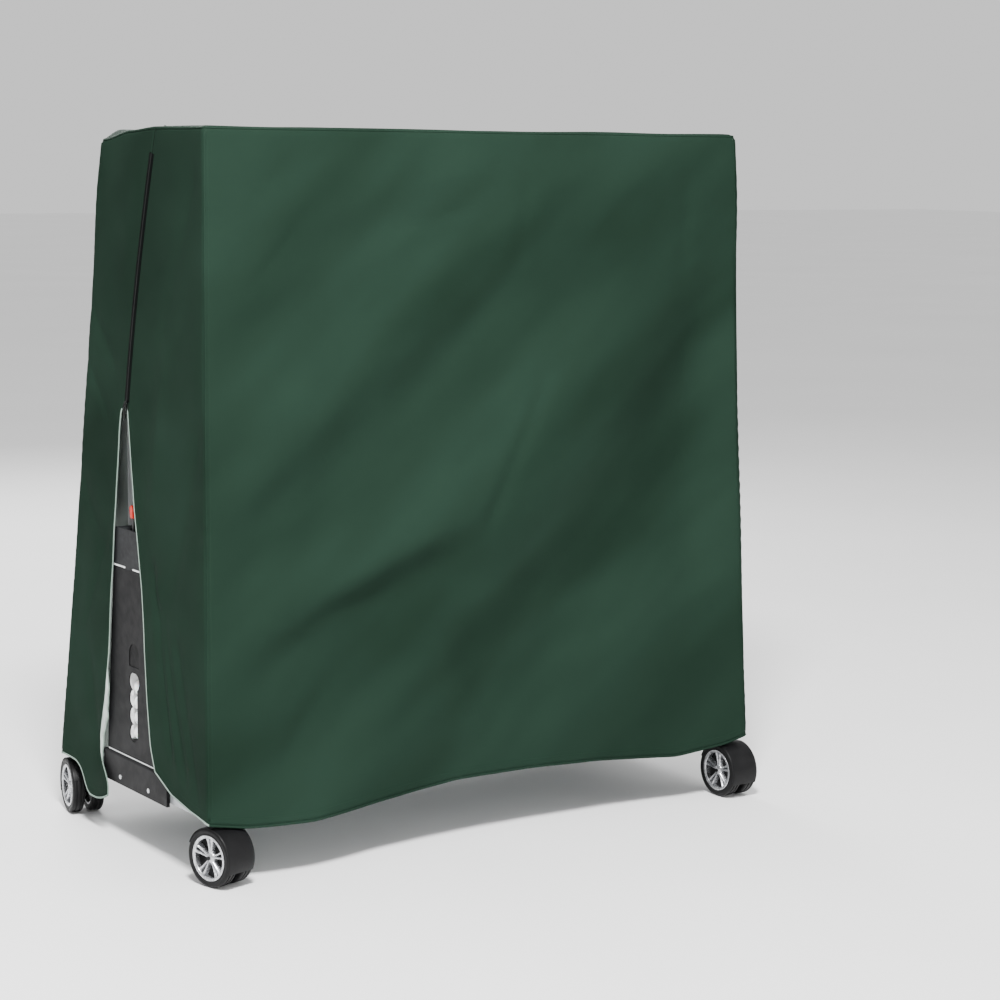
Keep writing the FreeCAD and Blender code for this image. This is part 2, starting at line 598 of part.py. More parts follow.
def cover_y(z, side, inset):
    """Y of the cover's front (-1) or back (1) at a height."""
    top = TOP_FRONT if side < 0 else TOP_BACK
    share = (COVER_TOP - z) / (COVER_TOP - COVER_HEM)
    return top + share * (side * HEM_Y - top) - side * inset


def corner(end, side, z, inset):
    """A corner point of the cover's outer (inset 0) or inner skin."""
    level = z - inset if z == COVER_TOP else z
    return Vector(end * cover_x(level, inset), cover_y(level, side, inset), level)


def end_point(end, y, z, inset):
    """A point on the cover's end, between its corners."""
    level = z - inset if z == COVER_TOP else z
    return Vector(end * cover_x(level, inset), y, level)


def sheet(points):
    """A closed thin panel: points(inset) lists its outline on either skin."""
    outer, inner = points(0.0), points(COVER_T)
    faces = [Part.Face(Part.makePolygon(ring + ring[:1])) for ring in (outer, inner)]
    for i in range(len(outer)):
        j = (i + 1) % len(outer)
        if (outer[i].z, outer[i].y, outer[i].x) < (outer[j].z, outer[j].y, outer[j].x):
            i, j = j, i
        for ring in ([outer[i], outer[j], inner[j]], [outer[i], inner[j], inner[i]]):
            faces.append(Part.Face(Part.makePolygon(ring + ring[:1])))
    solid = Part.makeSolid(Part.makeShell(faces))
    if solid.Volume < 0:
        solid.reverse()
    return solid


def build_cover():
    top, hem = COVER_TOP, COVER_HEM
    save("cover_top", sheet(lambda d: [corner(-1, -1, top, d), corner(1, -1, top, d),
                                       corner(1, 1, top, d), corner(-1, 1, top, d)]))
    for name, side in (("cover_front", -1), ("cover_back", 1)):
        save(name, sheet(lambda d: [corner(-1, side, top, d), corner(1, side, top, d),
                                    corner(1, side, hem, d), corner(-1, side, hem, d)]))
    save("cover_right_end", sheet(lambda d: [corner(1, -1, top, d), corner(1, 1, top, d),
                                             corner(1, 1, hem, d), corner(1, -1, hem, d)]))
    gap = 0.5
    save("cover_left_front_flap", sheet(lambda d: [
        corner(-1, -1, top, d),
        end_point(-1, ZIP_TOP_Y - gap, top, d),
        end_point(-1, SLIT_Y - gap, SLIT_Z, d),
        end_point(-1, SLIT_FRONT_Y, SLIT_FRONT_Z, d),
        corner(-1, -1, hem, d)]))
    save("cover_left_back_flap", sheet(lambda d: [
        corner(-1, 1, top, d),
        end_point(-1, ZIP_TOP_Y + gap, top, d),
        end_point(-1, SLIT_Y + gap, SLIT_Z, d),
        end_point(-1, SLIT_BACK_Y, hem, d),
        corner(-1, 1, hem, d)]))
    x = -cover_x(SLIT_Z, 0)
    body = box(x - 4.5, x - 0.5, SLIT_Y - 6, SLIT_Y + 6, SLIT_Z - 8, SLIT_Z + 10)
    pull = box(x - 4, x - 2, SLIT_Y - 4, SLIT_Y + 4, SLIT_Z - 42, SLIT_Z - 6)
    save("zip_slider", join(body, pull))


build_half("front", -1)
build_half("back", 1)
build_leg("front", -1)
build_leg("back", 1)
build_chassis()
build_casters()
build_cover()
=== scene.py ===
import json
import math

import bpy
import numpy as np
from mathutils import Matrix, Vector


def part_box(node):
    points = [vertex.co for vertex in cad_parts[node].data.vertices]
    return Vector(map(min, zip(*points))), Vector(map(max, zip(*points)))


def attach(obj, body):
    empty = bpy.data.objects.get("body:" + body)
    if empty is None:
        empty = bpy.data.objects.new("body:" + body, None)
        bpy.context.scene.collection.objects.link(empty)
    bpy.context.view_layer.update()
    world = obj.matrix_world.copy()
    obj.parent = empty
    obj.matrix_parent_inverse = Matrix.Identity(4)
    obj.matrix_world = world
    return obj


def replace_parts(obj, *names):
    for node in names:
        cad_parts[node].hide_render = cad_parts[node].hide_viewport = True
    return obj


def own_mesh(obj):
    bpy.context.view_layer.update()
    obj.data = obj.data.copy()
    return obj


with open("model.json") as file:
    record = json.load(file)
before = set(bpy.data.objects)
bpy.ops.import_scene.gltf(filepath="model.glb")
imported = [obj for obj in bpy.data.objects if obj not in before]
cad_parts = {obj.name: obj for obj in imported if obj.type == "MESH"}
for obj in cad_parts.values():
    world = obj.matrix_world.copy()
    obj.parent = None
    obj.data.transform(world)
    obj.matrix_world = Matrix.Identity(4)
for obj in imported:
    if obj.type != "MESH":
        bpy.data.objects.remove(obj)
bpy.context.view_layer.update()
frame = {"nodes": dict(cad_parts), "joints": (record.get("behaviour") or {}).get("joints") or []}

# ---- what the frame says about the cover ----
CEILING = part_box("cover_top")[1].z
TOP_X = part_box("cover_top")[1].x
TOP_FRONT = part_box("cover_top")[0].y
TOP_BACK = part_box("cover_top")[1].y
HEM_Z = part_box("cover_front")[0].z
HEM_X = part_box("cover_front")[1].x
HEM_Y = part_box("cover_back")[1].y
SLIDER_LOW, SLIDER_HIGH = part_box("zip_slider")
SLIDER_OVERLAP = 0.010  # the slider's top stands this far above the end of the slit
APEX_Y = (SLIDER_LOW.y + SLIDER_HIGH.y) / 2
APEX_Z = SLIDER_HIGH.z - SLIDER_OVERLAP
ZIP_TOP_Y = -0.110
ZIP_BULGE = 0.015
RIGHT_TOP_Y = (TOP_FRONT + TOP_BACK) / 2
ZIP_TOP_GAP = 0.052  # the zip stops this far below the top
TOP_SEAM_SHARE = 0.97  # the top's middle seam stops this near to its ends

# ---- the cloth's grid and thickness ----
END_COLUMNS = 38
LONG_COLUMNS = 150
WALL_ROWS = 150
TOP_ROWS = 24
CLOTH = 0.0012
SOFTENING = 2

# ---- strips sewn to the cloth, as (width, height) ----
BINDING_STRIP = (0.0054, 0.0030)
HEM_STRIP = (0.0060, 0.0032)
CORNER_SEAM = (0.0065, 0.0022)
TOP_EDGE_SEAM = (0.0060, 0.0020)
TOP_MIDDLE_SEAM = (0.0075, 0.0022)
END_SEAM = (0.0070, 0.0020)
ZIP_TAPE_STRIP = (0.0280, 0.0016)
ZIP_COIL_STRIP = (0.0050, 0.0010)
COIL_PITCH = 0.0011
COIL_WOBBLE = 0.0010
STITCH_PITCH, STITCH_LENGTH, STITCH_RADIUS = 0.0065, 0.0042, 0.0007
# ---- turned edge of the back flap ----
LINING_TURN = 0.014
LINING_EDGE = (0.0050, 0.0028)
LINING_THICKNESS = 0.0010
LINING_LOW, LINING_HIGH = 0.185, 0.45
LINING_SECTION = ((0.0, -0.0006), (0.35, 0.0035), (0.7, 0.0030), (1.0, -0.0060))  # share across, lift


def metres(parts, pairs):
    """Turns pairs of whole parts of a metre into metres."""
    return [(first / parts, second / parts) for first, second in pairs]


# ---- free edges: hems as (x or y, height), slit edges as (height, y) ----
FRONT_HEM = metres(1000, [(-863, 164), (-760, 146), (-580, 141), (-370, 154), (-120, 175), (130, 173),
                          (340, 164), (610, 143), (780, 158), (863, 176)])
BACK_HEM = metres(1000, [(-863, 162), (-600, 150), (-200, 170), (200, 154), (600, 168), (863, 172)])
RIGHT_HEM = metres(1000, [(-437, 176), (-200, 160), (0, 171), (200, 158), (437, 172)])
FRONT_FLAP_HEM = metres(1000, [(-437, 166), (-340, 177), (-235, 196), (-150, 238)])
BACK_FLAP_HEM = metres(1000, [(135, 112), (165, 98), (205, 88), (250, 88), (270, 104), (290, 130), (310, 151),
                              (335, 162), (437, 168)])
FRONT_SLIT = metres(1000, [(238, -150), (300, -124), (464, -88), (692, -50), (918, -5), (1160, 38)])
BACK_SLIT = metres(1000, [(112, 136), (140, 131), (165, 146), (190, 176), (215, 194), (278, 186), (367, 158),
                          (500, 137), (665, 124), (906, 100), (1100, 82), (1150, 74), (1172, 46)])

# ---- broad soft folds of the long walls: from (x, z) to (x, z), spread, step out or in ----
BROAD_FOLDS = [(-0.72, 1.23, -0.07, 1.51, 0.080, 0.024), (-0.84, 0.85, -0.01, 1.47, 0.060, -0.038),
               (-0.46, 0.89, 0.24, 1.27, 0.110, 0.034), (-0.56, 0.63, -0.20, 0.80, 0.046, -0.058),
               (-0.01, 0.63, 0.79, 1.47, 0.105, -0.068), (0.18, 0.41, 0.64, 0.85, 0.080, 0.014),
               (-0.48, 0.26, -0.23, 0.65, 0.070, 0.018), (-0.47, 1.63, -0.12, 1.69, 0.045, -0.018),
               (-0.83, 1.43, -0.48, 1.49, 0.055, -0.013), (-0.27, 0.28, 0.11, 0.51, 0.085, -0.022),
               (-0.82, 0.53, -0.55, 0.71, 0.070, 0.010), (0.21, 1.31, 0.37, 1.39, 0.070, 0.012),
               (0.61, 0.97, 0.78, 1.05, 0.050, -0.016), (0.66, 0.67, 0.81, 0.75, 0.050, -0.014),
               (0.10, 0.26, 0.70, 0.40, 0.110, -0.016)]
FOLD_OUT = 0.012  # the long walls stand this far proud between folds
FOLD_EASE = 0.48  # a broad fold eases back over this length
FOLD_WANDER = 0.022
FOLD_ANGLE = math.radians(38)  # lean of the painted light-and-shade streaks in the cloth's colour, which follow the folds
TOP_LIFT = 0.008
CORNER_DROOP = 0.022
LOOSE_HEIGHT = 0.35  # the long walls hang loose this far above the hem
END_FOLD_DEPTH, END_FOLD_PITCH = 0.0022, 0.21
PUCKER_DEPTH, PUCKER_PITCH, PUCKER_REACH = 0.0008, 0.034, 0.040
# ---- small creases on the front wall: from (x, z) to (x, z), width, depth ----
CREASES = [(0.13, 1.16, -0.02, 0.88, 0.024, -0.0070),
           (-0.44, 0.74, -0.24, 0.80, 0.030, 0.0030), (-0.50, 0.66, -0.34, 0.68, 0.030, -0.0040),
           (-0.10, 0.72, 0.22, 0.66, 0.050, -0.0040), (-0.22, 1.63, -0.10, 1.66, 0.022, -0.0030),
           (0.09, 1.57, 0.11, 1.70, 0.026, -0.0030), (0.63, 1.53, 0.65, 1.72, 0.034, -0.0040),
           (-0.72, 1.47, -0.60, 1.60, 0.014, -0.0022), (-0.80, 1.79, -0.70, 1.70, 0.012, -0.0025),
           (-0.74, 1.80, -0.66, 1.72, 0.010, -0.0018), (-0.66, 0.30, -0.50, 0.46, 0.030, -0.0040)]
# ---- the same for the ends, from (y, z) to (y, z) ----
END_CREASES = [(0.30, 1.44, 0.14, 1.28, 0.022, -0.0036), (0.32, 1.30, 0.17, 1.14, 0.018, -0.0030),
               (0.34, 0.98, 0.20, 0.80, 0.030, -0.0036), (0.16, 0.80, 0.27, 0.58, 0.018, -0.0034),
               (-0.30, 1.72, -0.16, 1.36, 0.030, -0.0034), (-0.36, 1.10, -0.20, 0.66, 0.034, -0.0040),
               (0.26, 0.46, 0.20, 0.22, 0.026, -0.0036), (-0.12, 0.74, -0.23, 0.32, 0.018, -0.0062),
               (-0.17, 0.64, -0.30, 0.27, 0.020, -0.0070), (-0.26, 0.56, -0.36, 0.25, 0.022, -0.0060),
               (-0.15, 0.70, -0.26, 0.30, 0.016, 0.0040), (-0.16, 1.28, -0.10, 0.90, 0.026, 0.0030)]


# ======== small tools ========

def tone(red, green, blue):
    """A display colour of 0 to 255 as a linear colour."""
    linear = []
    for level in (red, green, blue):
        share = level / 255
        linear.append(share / 12.92 if share <= 0.04045 else ((share + 0.055) / 1.055) ** 2.4)
    return (*linear, 1.0)


def between(table, at):
    """Reads a table of (place, value) at one or many places."""
    places, values = zip(*sorted(table))
    return np.interp(at, places, values)


def smooth_step(value):
    """Runs from 0 to 1 with level ends."""
    share = np.clip(value, 0.0, 1.0)
    return share * share * (3 - 2 * share)


def ripple(points, size, seed, terms=10):
    """Smooth random waves from about -1 to 1, with bumps about `size` across."""
    source = np.random.default_rng(seed)
    total = np.zeros(points.shape[:-1])
    for _ in range(terms):
        direction = source.normal(size=3)
        direction *= 2 * math.pi / (np.linalg.norm(direction) * size * source.uniform(1.3, 2.8))
        total += np.sin(points @ direction + source.uniform(0, 2 * math.pi))
    return total * 1.1 / math.sqrt(terms)


def beside_line(across, height, line):
    """How far each point lies to the side of a line, and how far past its ends."""
    x0, z0, x1, z1 = line[:4]
    length = math.hypot(x1 - x0, z1 - z0)
    ux, uz = (x1 - x0) / length, (z1 - z0) / length
    along = (across - x0) * ux + (height - z0) * uz
    aside = (across - x0) * uz - (height - z0) * ux
    return aside, np.maximum(0, np.maximum(-along, along - length))


def crease(across, height, line):
    """How deep one crease is at each point: a soft groove that fades at both ends."""
    aside, beyond = beside_line(across, height, line)
    width, depth = line[4:]
    return depth * np.exp(-(aside / width) ** 2 - (beyond / (2 * width)) ** 2)


def broad_fold(across, height, line):
    """A soft step out or in across a line; it eases back further down and fades past both ends."""
    below, beyond = beside_line(across, height, line)
    width, step = line[4:]
    eased = np.exp(-(np.maximum(0, below - width) / FOLD_EASE) ** 2)
    faded = np.exp(-(beyond / (0.08 + 1.6 * width)) ** 2)
    return step * 0.5 * (1 + np.tanh(below / width)) * eased * faded


def soften(grid, axis, passes):
    """Rounds the corners of a grid of points along one axis, and keeps its ends."""
    grid = np.moveaxis(grid, axis, 0)
    for _ in range(passes):
        padded = np.concatenate([2 * grid[:1] - grid[1:2], grid, 2 * grid[-1:] - grid[-2:-1]])
        grid = (padded[:-2] + 2 * padded[1:-1] + padded[2:]) / 4
    return np.moveaxis(grid, 0, axis)


def outward(grid):
    """Unit normals of a grid of points."""
    across = np.gradient(grid, axis=0)
    up = np.gradient(grid, axis=1)
    normal = np.cross(across, up)
    normal /= np.linalg.norm(normal, axis=-1, keepdims=True) + 1e-12
    return normal


# ======== materials ========

def link(tree, source, target):
    tree.links.new(source, target)
    return target


def add(tree, kind, inputs=(), **settings):
    """A new shader node with its sockets' values and its settings."""
    node = tree.nodes.new("ShaderNode" + kind)
    for key, value in settings.items():
        setattr(node, key, value)
    for key, value in dict(inputs).items():
        node.inputs[key].default_value = value
    return node


def start_material(name, **values):
    """A material with values on its shader's own sockets; _ in a key stands for a space."""
    material = bpy.data.materials.new(name)
    material.use_nodes = True
    tree = material.node_tree
    shader = tree.nodes["Principled BSDF"]
    for key, value in values.items():
        shader.inputs[key.replace("_", " ")].default_value = value
    return material, tree, shader


def place_of(tree):
    """Where a point of the object is, in the object's own space."""
    return add(tree, "TexCoord").outputs["Object"]


def split(tree, vector):
    """The X, Y and Z of a vector."""
    node = add(tree, "SeparateXYZ")
    link(tree, vector, node.inputs[0])
    return node.outputs


def noise(tree, size, detail=3.0, stretch=(1, 1, 1), turn=0.0):
    """Cloudy values from 0 to 1, with clouds about `size` across."""
    placing = {"Scale": stretch, "Rotation": (0, turn, 0)}
    mapping = add(tree, "Mapping", placing, vector_type="TEXTURE")
    link(tree, place_of(tree), mapping.inputs["Vector"])
    texture = add(tree, "TexNoise", {"Scale": 1 / size, "Detail": detail})
    link(tree, mapping.outputs["Vector"], texture.inputs["Vector"])
    return texture.outputs["Fac"]


def calc(tree, operation, first, second=0.0):
    """One step of arithmetic on sockets or numbers."""
    node = add(tree, "Math", operation=operation)
    for index, value in enumerate((first, second)):
        if isinstance(value, (int, float)):
            node.inputs[index].default_value = value
        else:
            link(tree, value, node.inputs[index])
    return node.outputs[0]


def times(tree, first, second):
    return calc(tree, "MULTIPLY", first, second)


def within(tree, value, half):
    """1 where a value lies between -half and half, else 0."""
    return calc(tree, "LESS_THAN", calc(tree, "ABSOLUTE", value), half)


def spread(tree, value, low, high, start=0.3, stop=0.7):
    """Stretches values between start and stop to run from low to high."""
    limits = {"From Min": start, "From Max": stop, "To Min": low, "To Max": high}
    node = add(tree, "MapRange", limits)
    link(tree, value, node.inputs["Value"])
    return node.outputs["Result"]


def blend_colours(tree, share, first, second):
    node = add(tree, "Mix", data_type="RGBA")
    link(tree, share, node.inputs[0])
    for index, colour in ((6, first), (7, second)):
        if isinstance(colour, tuple):
            node.inputs[index].default_value = colour
        else:
            link(tree, colour, node.inputs[index])
    return node.outputs[2]


def clouded(tree, size, detail, low, high):
    """Two display colours in clouds about `size` across."""
    cloud = spread(tree, noise(tree, size, detail), 0.0, 1.0)
    return blend_colours(tree, cloud, tone(*low), tone(*high))


def bump(tree, shader, height, depth, strength=1.0, after=None):
    """Fine relief on a shader, on top of the relief before it."""
    node = add(tree, "Bump", {"Strength": strength, "Distance": depth})
    link(tree, height, node.inputs["Height"])
    if after is not None:
        link(tree, after, node.inputs["Normal"])
    link(tree, node.outputs["Normal"], shader.inputs["Normal"])
    return node.outputs["Normal"]


def moulded(name, low, high, blotch, rough, grain, depth, specular=0.5, **values):
    """Paint, plastic, rubber or metal: cloudy colour, uneven gloss and a fine grain."""
    material, tree, shader = start_material(name, Specular_IOR_Level=specular, **values)
    link(tree, clouded(tree, blotch, 4.0, low, high), shader.inputs["Base Color"])
    gloss = noise(tree, blotch * 0.3, 5.0)
    link(tree, spread(tree, gloss, rough - 0.06, rough + 0.08), shader.inputs["Roughness"])
    first = bump(tree, shader, noise(tree, grain, 2.0), depth)
    bump(tree, shader, noise(tree, grain * 12, 2.0), depth * 3, 0.6, first)
    return material


WEAVE_PITCH = 0.0014
CLOUD_SIZE, HEATHER_SIZE, WRINKLE_SIZE = 0.55, 0.0016, 0.034
# painted light and shade of the folds: size and stretch of the lighter and darker streaks that lean like the
# folds
PAINTED_SHADING_SIZE, PAINTED_SHADING_STRETCH = 0.26, (3.2, 1.5, 1.0)


def weave_height(tree, pitch):
    """Crossing threads that follow the walls' directions, and the top's where it is level."""
    place = split(tree, place_of(tree))
    facing = split(tree, add(tree, "NewGeometry").outputs["True Normal"])
    level = calc(tree, "GREATER_THAN", calc(tree, "ABSOLUTE", facing["Z"]), 0.7)
    upright = calc(tree, "SUBTRACT", 1.0, level)
    warp = calc(tree, "ADD", place["X"], place["Y"])
    across = calc(tree, "SUBTRACT", place["X"], place["Y"])
    weft = calc(tree, "ADD", times(tree, upright, place["Z"]), times(tree, level, across))
    turns = 2 * math.pi / pitch
    return times(tree, *(calc(tree, "SINE", times(tree, thread, turns)) for thread in (warp, weft)))


def cloth_material(name, low, mid, high, specular):
    """Coated polyester: crossing threads, small wrinkles, random tone clouds, and painted light and shade in
    soft streaks along the folds.
    """
    material, tree, shader = start_material(name, Specular_IOR_Level=specular)
    low, mid, high = tone(*low), tone(*mid), tone(*high)
    clouds = spread(tree, noise(tree, CLOUD_SIZE, 3.0), 0.0, 1.0)
    # painted light and shade: lighter and darker streaks that lean with the folds
    painted_fold_shading = noise(tree, PAINTED_SHADING_SIZE, 2.5, PAINTED_SHADING_STRETCH, -FOLD_ANGLE)
    painted_fold_shading = spread(tree, painted_fold_shading, 0.0, 1.0, 0.36, 0.66)
    colour = blend_colours(tree, painted_fold_shading, low, high)
    colour = blend_colours(tree, times(tree, clouds, 0.55), colour, mid)
    heather = spread(tree, noise(tree, HEATHER_SIZE, 2.0), 0.0, 0.20)
    colour = blend_colours(tree, heather, colour, low)
    link(tree, colour, shader.inputs["Base Color"])
    link(tree, spread(tree, noise(tree, 0.12, 4.0), 0.58, 0.72), shader.inputs["Roughness"])
    first = bump(tree, shader, weave_height(tree, WEAVE_PITCH), 0.00010, 0.40)
    bump(tree, shader, noise(tree, WRINKLE_SIZE, 4.0, (1.3, 1.3, 1.0)), 0.0020, 0.22, first)
    return material


# ---- painted and sewn patterns ----
EDGE_LINE = 0.0167  # the board's part of the white line along its edges
HALF_CENTRE_LINE = 0.0015
PAINT_DEPTH = 0.0004  # reaches just below the playing face
GRIP_HEIGHT = 0.034
NET_MESH, THREAD_SHARE = 0.0095, 0.09
TOP_TAPE, END_TAPE = 0.015, 0.012
# ---- arched recess of a tower panel, and the shade painted into it: heights are from the panel's lower end ----
RECESS_DEPTH = 0.0007  # deeper than this below the face counts as the recess
RECESS_MIDDLE, RECESS_HALF = 0.009, 0.0295
RECESS_LOW, RECESS_HIGH = 0.2425, 0.306
# painted shade in the recess: weaker below SHADE_LOW, darkest above SHADE_HIGH
SHADE_LOW, SHADE_HIGH = 0.243, 0.280


def board_material(half):
    """Blue playing surface with its white lines, and a plain blue underside."""
    low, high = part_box(half + "_board")
    material, tree, shader = start_material(half + "_board_paint", Coat_Weight=0.15, Coat_Roughness=0.3)
    place = split(tree, place_of(tree))
    lines = calc(tree, "GREATER_THAN", calc(tree, "ABSOLUTE", place["X"]), high.x - EDGE_LINE)
    lines = calc(tree, "MAXIMUM", lines, within(tree, place["X"], HALF_CENTRE_LINE))
    lines = calc(tree, "MAXIMUM", lines, calc(tree, "GREATER_THAN", place["Z"], high.z - EDGE_LINE))
    playing = min(abs(low.y), abs(high.y)) + PAINT_DEPTH
    lines = times(tree, lines, within(tree, place["Y"], playing))
    blue = clouded(tree, 0.3, 5.0, (38, 66, 118), (46, 76, 130))
    link(tree, blend_colours(tree, lines, blue, tone(225, 228, 230)), shader.inputs["Base Color"])
    link(tree, spread(tree, noise(tree, 0.08, 4.0), 0.40, 0.52), shader.inputs["Roughness"])
    bump(tree, shader, noise(tree, 0.0015, 2.0), 0.00008)
    return material


def lever_material():
    """Orange grip on a black arm."""
    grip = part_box("latch_lever_left")[1].z - GRIP_HEIGHT
    material, tree, shader = start_material("lever_two_tone")
    share = calc(tree, "GREATER_THAN", split(tree, place_of(tree))["Z"], grip)
    orange = clouded(tree, 0.01, 4.0, (196, 30, 10), (212, 42, 16))
    link(tree, blend_colours(tree, share, tone(26, 26, 28), orange), shader.inputs["Base Color"])
    link(tree, spread(tree, noise(tree, 0.004, 4.0), 0.38, 0.5), shader.inputs["Roughness"])
    bump(tree, shader, noise(tree, 0.0012, 2.0), 0.00006)
    return material


def net_material():
    """Open net: dark threads on a square grid, with clear gaps, below a white tape."""
    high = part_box("net")[1]
    material, tree, shader = start_material("net_threads", Roughness=0.75)
    place = split(tree, place_of(tree))
    lines = []
    for axis in ("X", "Z"):
        share = calc(tree, "FRACT", times(tree, place[axis], 1 / NET_MESH))
        lines.append(within(tree, calc(tree, "SUBTRACT", share, 0.5), THREAD_SHARE))
    threads = calc(tree, "MAXIMUM", *lines)
    tape = calc(tree, "GREATER_THAN", place["Z"], high.z - TOP_TAPE)
    ends = calc(tree, "GREATER_THAN", calc(tree, "ABSOLUTE", place["X"]), high.x - END_TAPE)
    tape = calc(tree, "MAXIMUM", tape, ends)
    dark = clouded(tree, 0.01, 3.0, (28, 34, 44), (40, 48, 60))
    link(tree, blend_colours(tree, tape, dark, tone(222, 222, 218)), shader.inputs["Base Color"])
    link(tree, calc(tree, "MAXIMUM", threads, tape), shader.inputs["Alpha"])
    bump(tree, shader, noise(tree, 0.0012, 2.0), 0.0002)
    return material


FABRIC = cloth_material("cover_cloth", (20, 34, 26), (25, 40, 32), (30, 47, 38), 0.015)
BINDING = cloth_material("binding_tape", (104, 122, 112), (126, 143, 133), (146, 160, 151), 0.1)
LINING = cloth_material("lining_cloth", (150, 162, 155), (172, 182, 176), (192, 200, 195), 0.1)
ZIP_TAPE = cloth_material("zip_tape", (4, 5, 5), (7, 8, 8), (10, 12, 11), 0.03)
THREAD = cloth_material("sewing_thread", (22, 42, 31), (28, 50, 38), (34, 58, 45), 0.08)
ZIP_METAL = moulded("zip_enamel", (10, 11, 11), (20, 22, 21), 0.004, 0.42, 0.0006, 0.00002, 0.12)
FRAME_PAINT = moulded("rail_paint", (216, 219, 220), (232, 234, 235), 0.12, 0.38, 0.0011, 0.00005,
                      Coat_Weight=0.2, Coat_Roughness=0.25)
LIGHT_STEEL = moulded("leg_paint", (150, 154, 157), (172, 175, 177), 0.10, 0.34, 0.0010, 0.00005,
                      Metallic=0.4)
DARK_STEEL = moulded("dark_paint", (38, 39, 42), (56, 57, 60), 0.10, 0.42, 0.0012, 0.00007, Metallic=0.2)
PLASTIC = moulded("casing_moulding", (23, 23, 24), (30, 30, 31), 0.09, 0.52, 0.0011, 0.00014, 0.09)
GUARD = moulded("guard_moulding", (20, 21, 23), (32, 33, 35), 0.05, 0.55, 0.0010, 0.00012, 0.2)
RUBBER = moulded("tyre_moulding", (10, 10, 11), (17, 17, 18), 0.03, 0.50, 0.0009, 0.00010, 0.16)
FORK = moulded("fork_moulding", (10, 10, 11), (17, 17, 18), 0.03, 0.44, 0.0010, 0.00008, 0.14)
SILVER = moulded("rim_paint", (150, 151, 154), (214, 215, 218), 0.012, 0.26, 0.0008, 0.00004,
                 Metallic=0.85, Coat_Weight=0.3, Coat_Roughness=0.15)
SCREW = moulded("screw_zinc", (196, 198, 200), (226, 228, 230), 0.004, 0.24, 0.0005, 0.00003, Metallic=0.9)
TRIM = moulded("trim_strip", (236, 238, 238), (246, 247, 247), 0.03, 0.35, 0.0008, 0.00004)
BALL = moulded("ball_celluloid", (246, 246, 243), (252, 252, 250), 0.02, 0.42, 0.0006, 0.00003,
               Subsurface_Weight=0.15)

# Finishes of the pieces that both halves of the table have.
HALF_MATERIALS = {
    "side_rails": FRAME_PAINT, "end_rails": FRAME_PAINT, "cross_rails": DARK_STEEL, "corner_guards": GUARD,
    "leg_tubes": LIGHT_STEEL, "leg_crossbar": LIGHT_STEEL, "leg_feet": GUARD, "link_rods": DARK_STEEL,
}


def panel_material_with_painted_shade():
    """The casing's plastic, with painted shade inside the shallow arched recess above the ball slot, darkest
    towards the arch.
    """
    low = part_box("tower_panel_left")[0]
    material = moulded("panel_moulding", (20, 20, 21), (27, 27, 28), 0.09, 0.52, 0.0011, 0.00014, 0.09)
    tree = material.node_tree
    shader = tree.nodes["Principled BSDF"]
    place = split(tree, place_of(tree))
    sunk = within(tree, place["X"], -low.x - RECESS_DEPTH)
    near = within(tree, calc(tree, "SUBTRACT", place["Y"], RECESS_MIDDLE), RECESS_HALF)
    height = spread(tree, place["Z"], 0.6, 1.0, low.z + SHADE_LOW, low.z + SHADE_HIGH)
    above = calc(tree, "GREATER_THAN", place["Z"], low.z + RECESS_LOW)
    below = calc(tree, "LESS_THAN", place["Z"], low.z + RECESS_HIGH)
    share = times(tree, times(tree, sunk, near), times(tree, above, below))
    share = times(tree, share, height)
    plain = shader.inputs["Base Color"].links[0].from_socket
    # painted shade: inside the recess the colour is mixed towards near black, more so towards the arch
    link(tree, blend_colours(tree, share, plain, tone(3, 3, 4)), shader.inputs["Base Color"])
    return material


def dress_nodes():
    """Gives every CAD node its finish."""
    panel = panel_material_with_painted_shade()
    lever = lever_material()
    plain = {"base_beams": LIGHT_STEEL, "base_casings": PLASTIC, "casing_screws": SCREW,
             "cross_tubes": LIGHT_STEEL, "tower_caps": GUARD, "hinge_pins": SCREW, "net_posts": DARK_STEEL,
             "spare_balls": BALL}
    for end in ("left", "right"):
        plain["tower_frame_" + end] = DARK_STEEL
        plain["tower_panel_" + end] = panel
        plain["latch_lever_" + end] = lever
    for half in ("front", "back"):
        plain[half + "_board"] = board_material(half)
        for name, material in HALF_MATERIALS.items():
            plain[half + "_" + name] = material
    for name, node in frame["nodes"].items():
        kind = name.split("_")[0]
        material = plain.get(name) or {"fork": FORK, "tyre": RUBBER, "rim": SILVER}.get(kind, FABRIC)
        node.data.materials.clear()
        node.data.materials.append(material)


# ======== mesh pieces ========

def place_object(name, data):
    obj = bpy.data.objects.new(name, data)
    bpy.context.scene.collection.objects.link(obj)
    return obj


def piece(name, points, faces, material, body, slot, crisp=None):
    """A mesh object from points and faces that rides on a body."""
    mesh = bpy.data.meshes.new(name)
    mesh.from_pydata(np.asarray(points, float).reshape(-1, 3).tolist(), [], [tuple(f) for f in faces])
    mesh.materials.append(material)
    mesh.shade_smooth()
    if crisp is not None:
        mesh.set_sharp_from_angle(angle=math.radians(crisp))
    obj = place_object(name, mesh)
    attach(obj, body)
    return obj


def grid_faces(columns, rows, base, flip):
    index = np.arange(columns * rows).reshape(columns, rows) + base
    quads = np.stack([index[:-1, :-1], index[1:, :-1], index[1:, 1:], index[:-1, 1:]], -1).reshape(-1, 4)
    return (quads[:, ::-1] if flip else quads).tolist()


